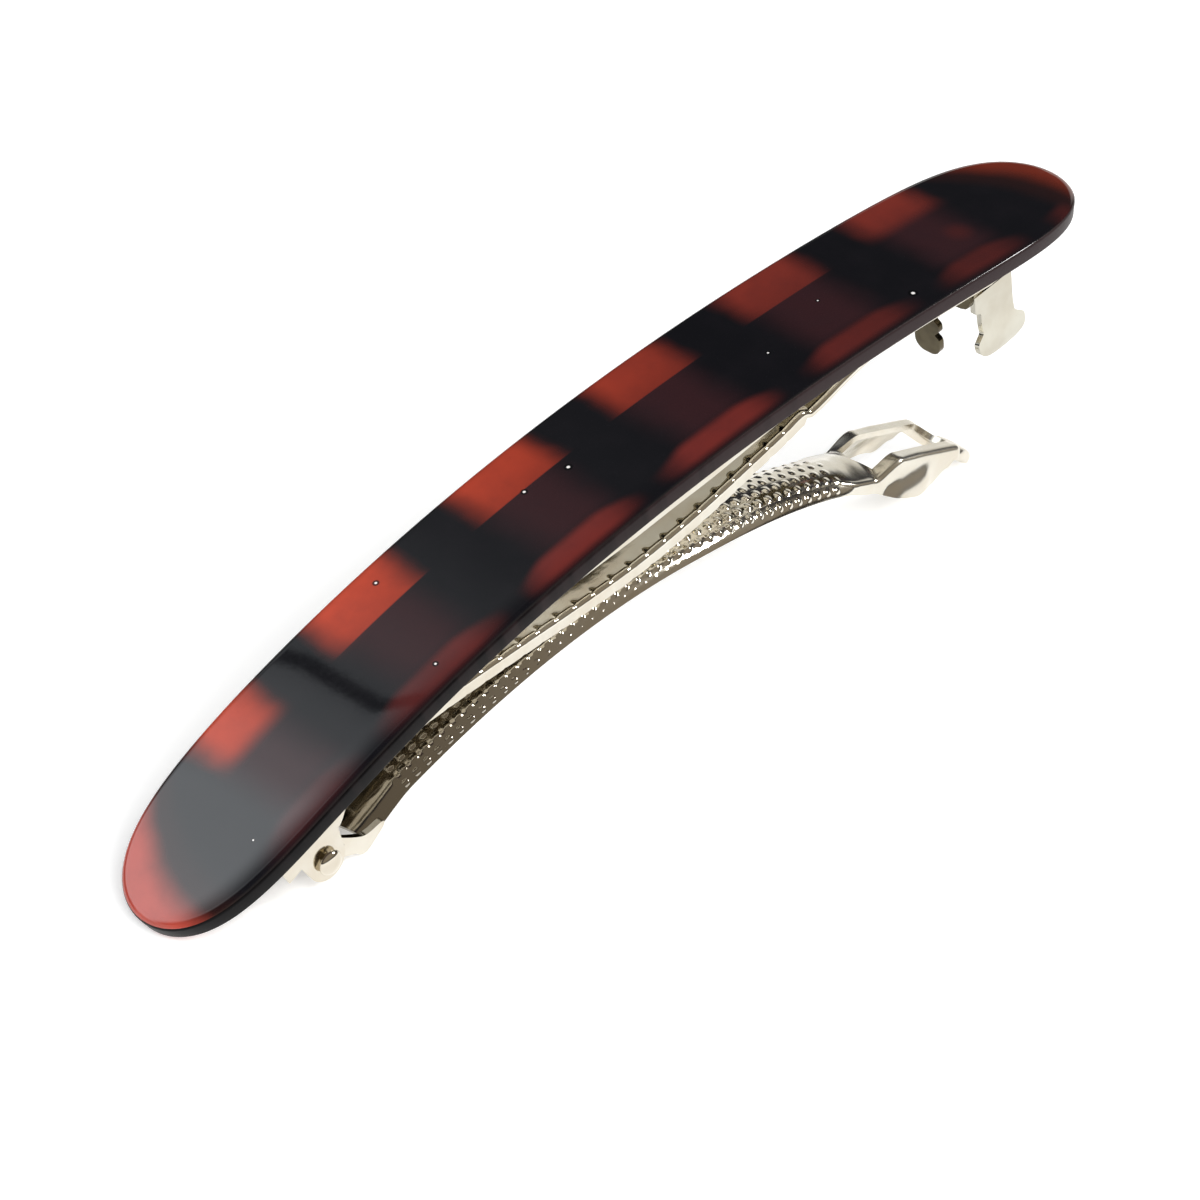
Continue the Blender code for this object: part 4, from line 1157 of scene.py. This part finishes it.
# The floor, in metres: half its width, and how far it lies below the object
FLOOR_HALF, FLOOR_DROP = 3.0, 0.0002
FLOOR_GREY, FLOOR_PALE, GRAIN_SCALE = (0.90, 0.90, 0.90, 1), (0.93, 0.93, 0.925, 1), 900.0
FLOOR_LOOK = {
    "Roughness": 0.9, "Specular IOR Level": 0.1, "Emission Color": (1, 1, 1, 1),
    "Emission Strength": 0.3,
}
# Area lights: direction, distance, width, height, radiance, and whether the object mirrors them
LIGHTS = [
    ("key", (-0.35, -0.75, 0.75), 1.1, 0.8, 0.8, 7.5, False),
    ("glint", (0.69, -0.47, 0.55), 1.1, 0.22, 0.16, 34.0, True),
]
LIT_POINT = (0, 0, 0.01)


def add_world():
    world = bpy.data.worlds.new("studio")
    bpy.context.scene.world = world
    world.use_nodes = True
    n = Nodes(world.node_tree)
    east, north, rise = n.split(n.add("ShaderNodeTexCoord").outputs["Generated"])
    sky = n.mix(n.step(north, *FRONT_TO_BACK), FRONT_DULL, BACK_DARK)
    for shade, north_spans, rise_span in PATCHES:
        share = n.step(rise, *rise_span)
        for span in north_spans:
            share = n.times(share, n.step(north, *span))
        sky = n.mix(share, sky, shade)
    haze = n.ramp(
        n.plus(n.math("DIVIDE", east, HAZE_SPAN), 0.5),
        [(place / HAZE_SPAN + 0.5, (level / HAZE_PEAK,) * 3) for place, level in HAZE],
    )
    height = n.times(n.step(north, *HAZE_NORTH), n.step(rise, *HAZE_RISE))
    haze = n.times(n.times(haze, HAZE_PEAK), height)
    tinted = n.add("ShaderNodeVectorMath", operation="SCALE")
    tinted.inputs[0].default_value = HAZE_TINT
    n.link(haze, tinted.inputs["Scale"])
    total = n.add("ShaderNodeVectorMath", operation="ADD")
    n.link(sky, total.inputs[0])
    n.link(tinted.outputs[0], total.inputs[1])
    n.link(total.outputs[0], world.node_tree.nodes["Background"].inputs["Color"])


def add_floor():
    mesh = bpy.data.meshes.new("floor")
    corners = [(-1, -1), (1, -1), (1, 1), (-1, 1)]
    mesh.from_pydata([(x * FLOOR_HALF, y * FLOOR_HALF, 0) for x, y in corners], [], [(0, 1, 2, 3)])
    floor = linked("floor", mesh)
    floor.location.z = -FLOOR_DROP
    paper, shader, n = new_material("floor_paper", "", FLOOR_LOOK)
    grain = n.noise(n.add("ShaderNodeTexCoord").outputs["Object"], GRAIN_SCALE, detail=3.0)
    n.link(n.mix(grain, FLOOR_GREY, FLOOR_PALE), shader.inputs["Base Color"])
    mesh.materials.append(paper)


def add_softbox(name, direction, distance, width, height, radiance, mirrored):
    """An area light in a direction from the object, facing it, as bright as radiance says."""
    data = bpy.data.lights.new(name, "AREA")
    data.shape = "RECTANGLE"
    data.size, data.size_y = width, height
    data.energy = radiance * math.pi * width * height
    lamp = linked(name, data)
    direction = Vector(direction).normalized()
    lamp.location = direction * distance + Vector(LIT_POINT)
    lamp.rotation_euler = direction.to_track_quat("Z", "Y").to_euler()
    lamp.visible_glossy = mirrored


bpy.context.scene.view_settings.view_transform = "Standard"
add_camera()
nickel = nickel_material("bright_nickel", NICKEL, NICKEL_WARM)
# The release ears get plating a little darker than the rest, a painted shade
ear_nickel = nickel_material("painted_shade_ear_nickel", EAR_SHADED_NICKEL, EAR_SHADED_NICKEL_WARM)
make_acetate_bar(acetate_material(), side_material())
make_base_channel(nickel)
# The catch wall and hook get plating darkened all over, a painted shade
make_catch_wall(nickel_material("painted_shade_hook_nickel", HOOK_SHADED_NICKEL, HOOK_SHADED_NICKEL_WARM))
for side in (-1, 1):
    make_catch_ear(side, ear_nickel)
make_tension_bar(nickel)
# The arm's darker tone by the hinge is a painted shade; its satin towards the tip is roughness
make_clasp_arm(nickel_material("painted_shade_and_satin_nickel", NICKEL, NICKEL_WARM, ARM_SHADE))
for side in (-1, 1):
    make_lug(side, nickel)
make_hinge_pin(nickel)
add_world()
add_floor()
for light in LIGHTS:
    add_softbox(*light)
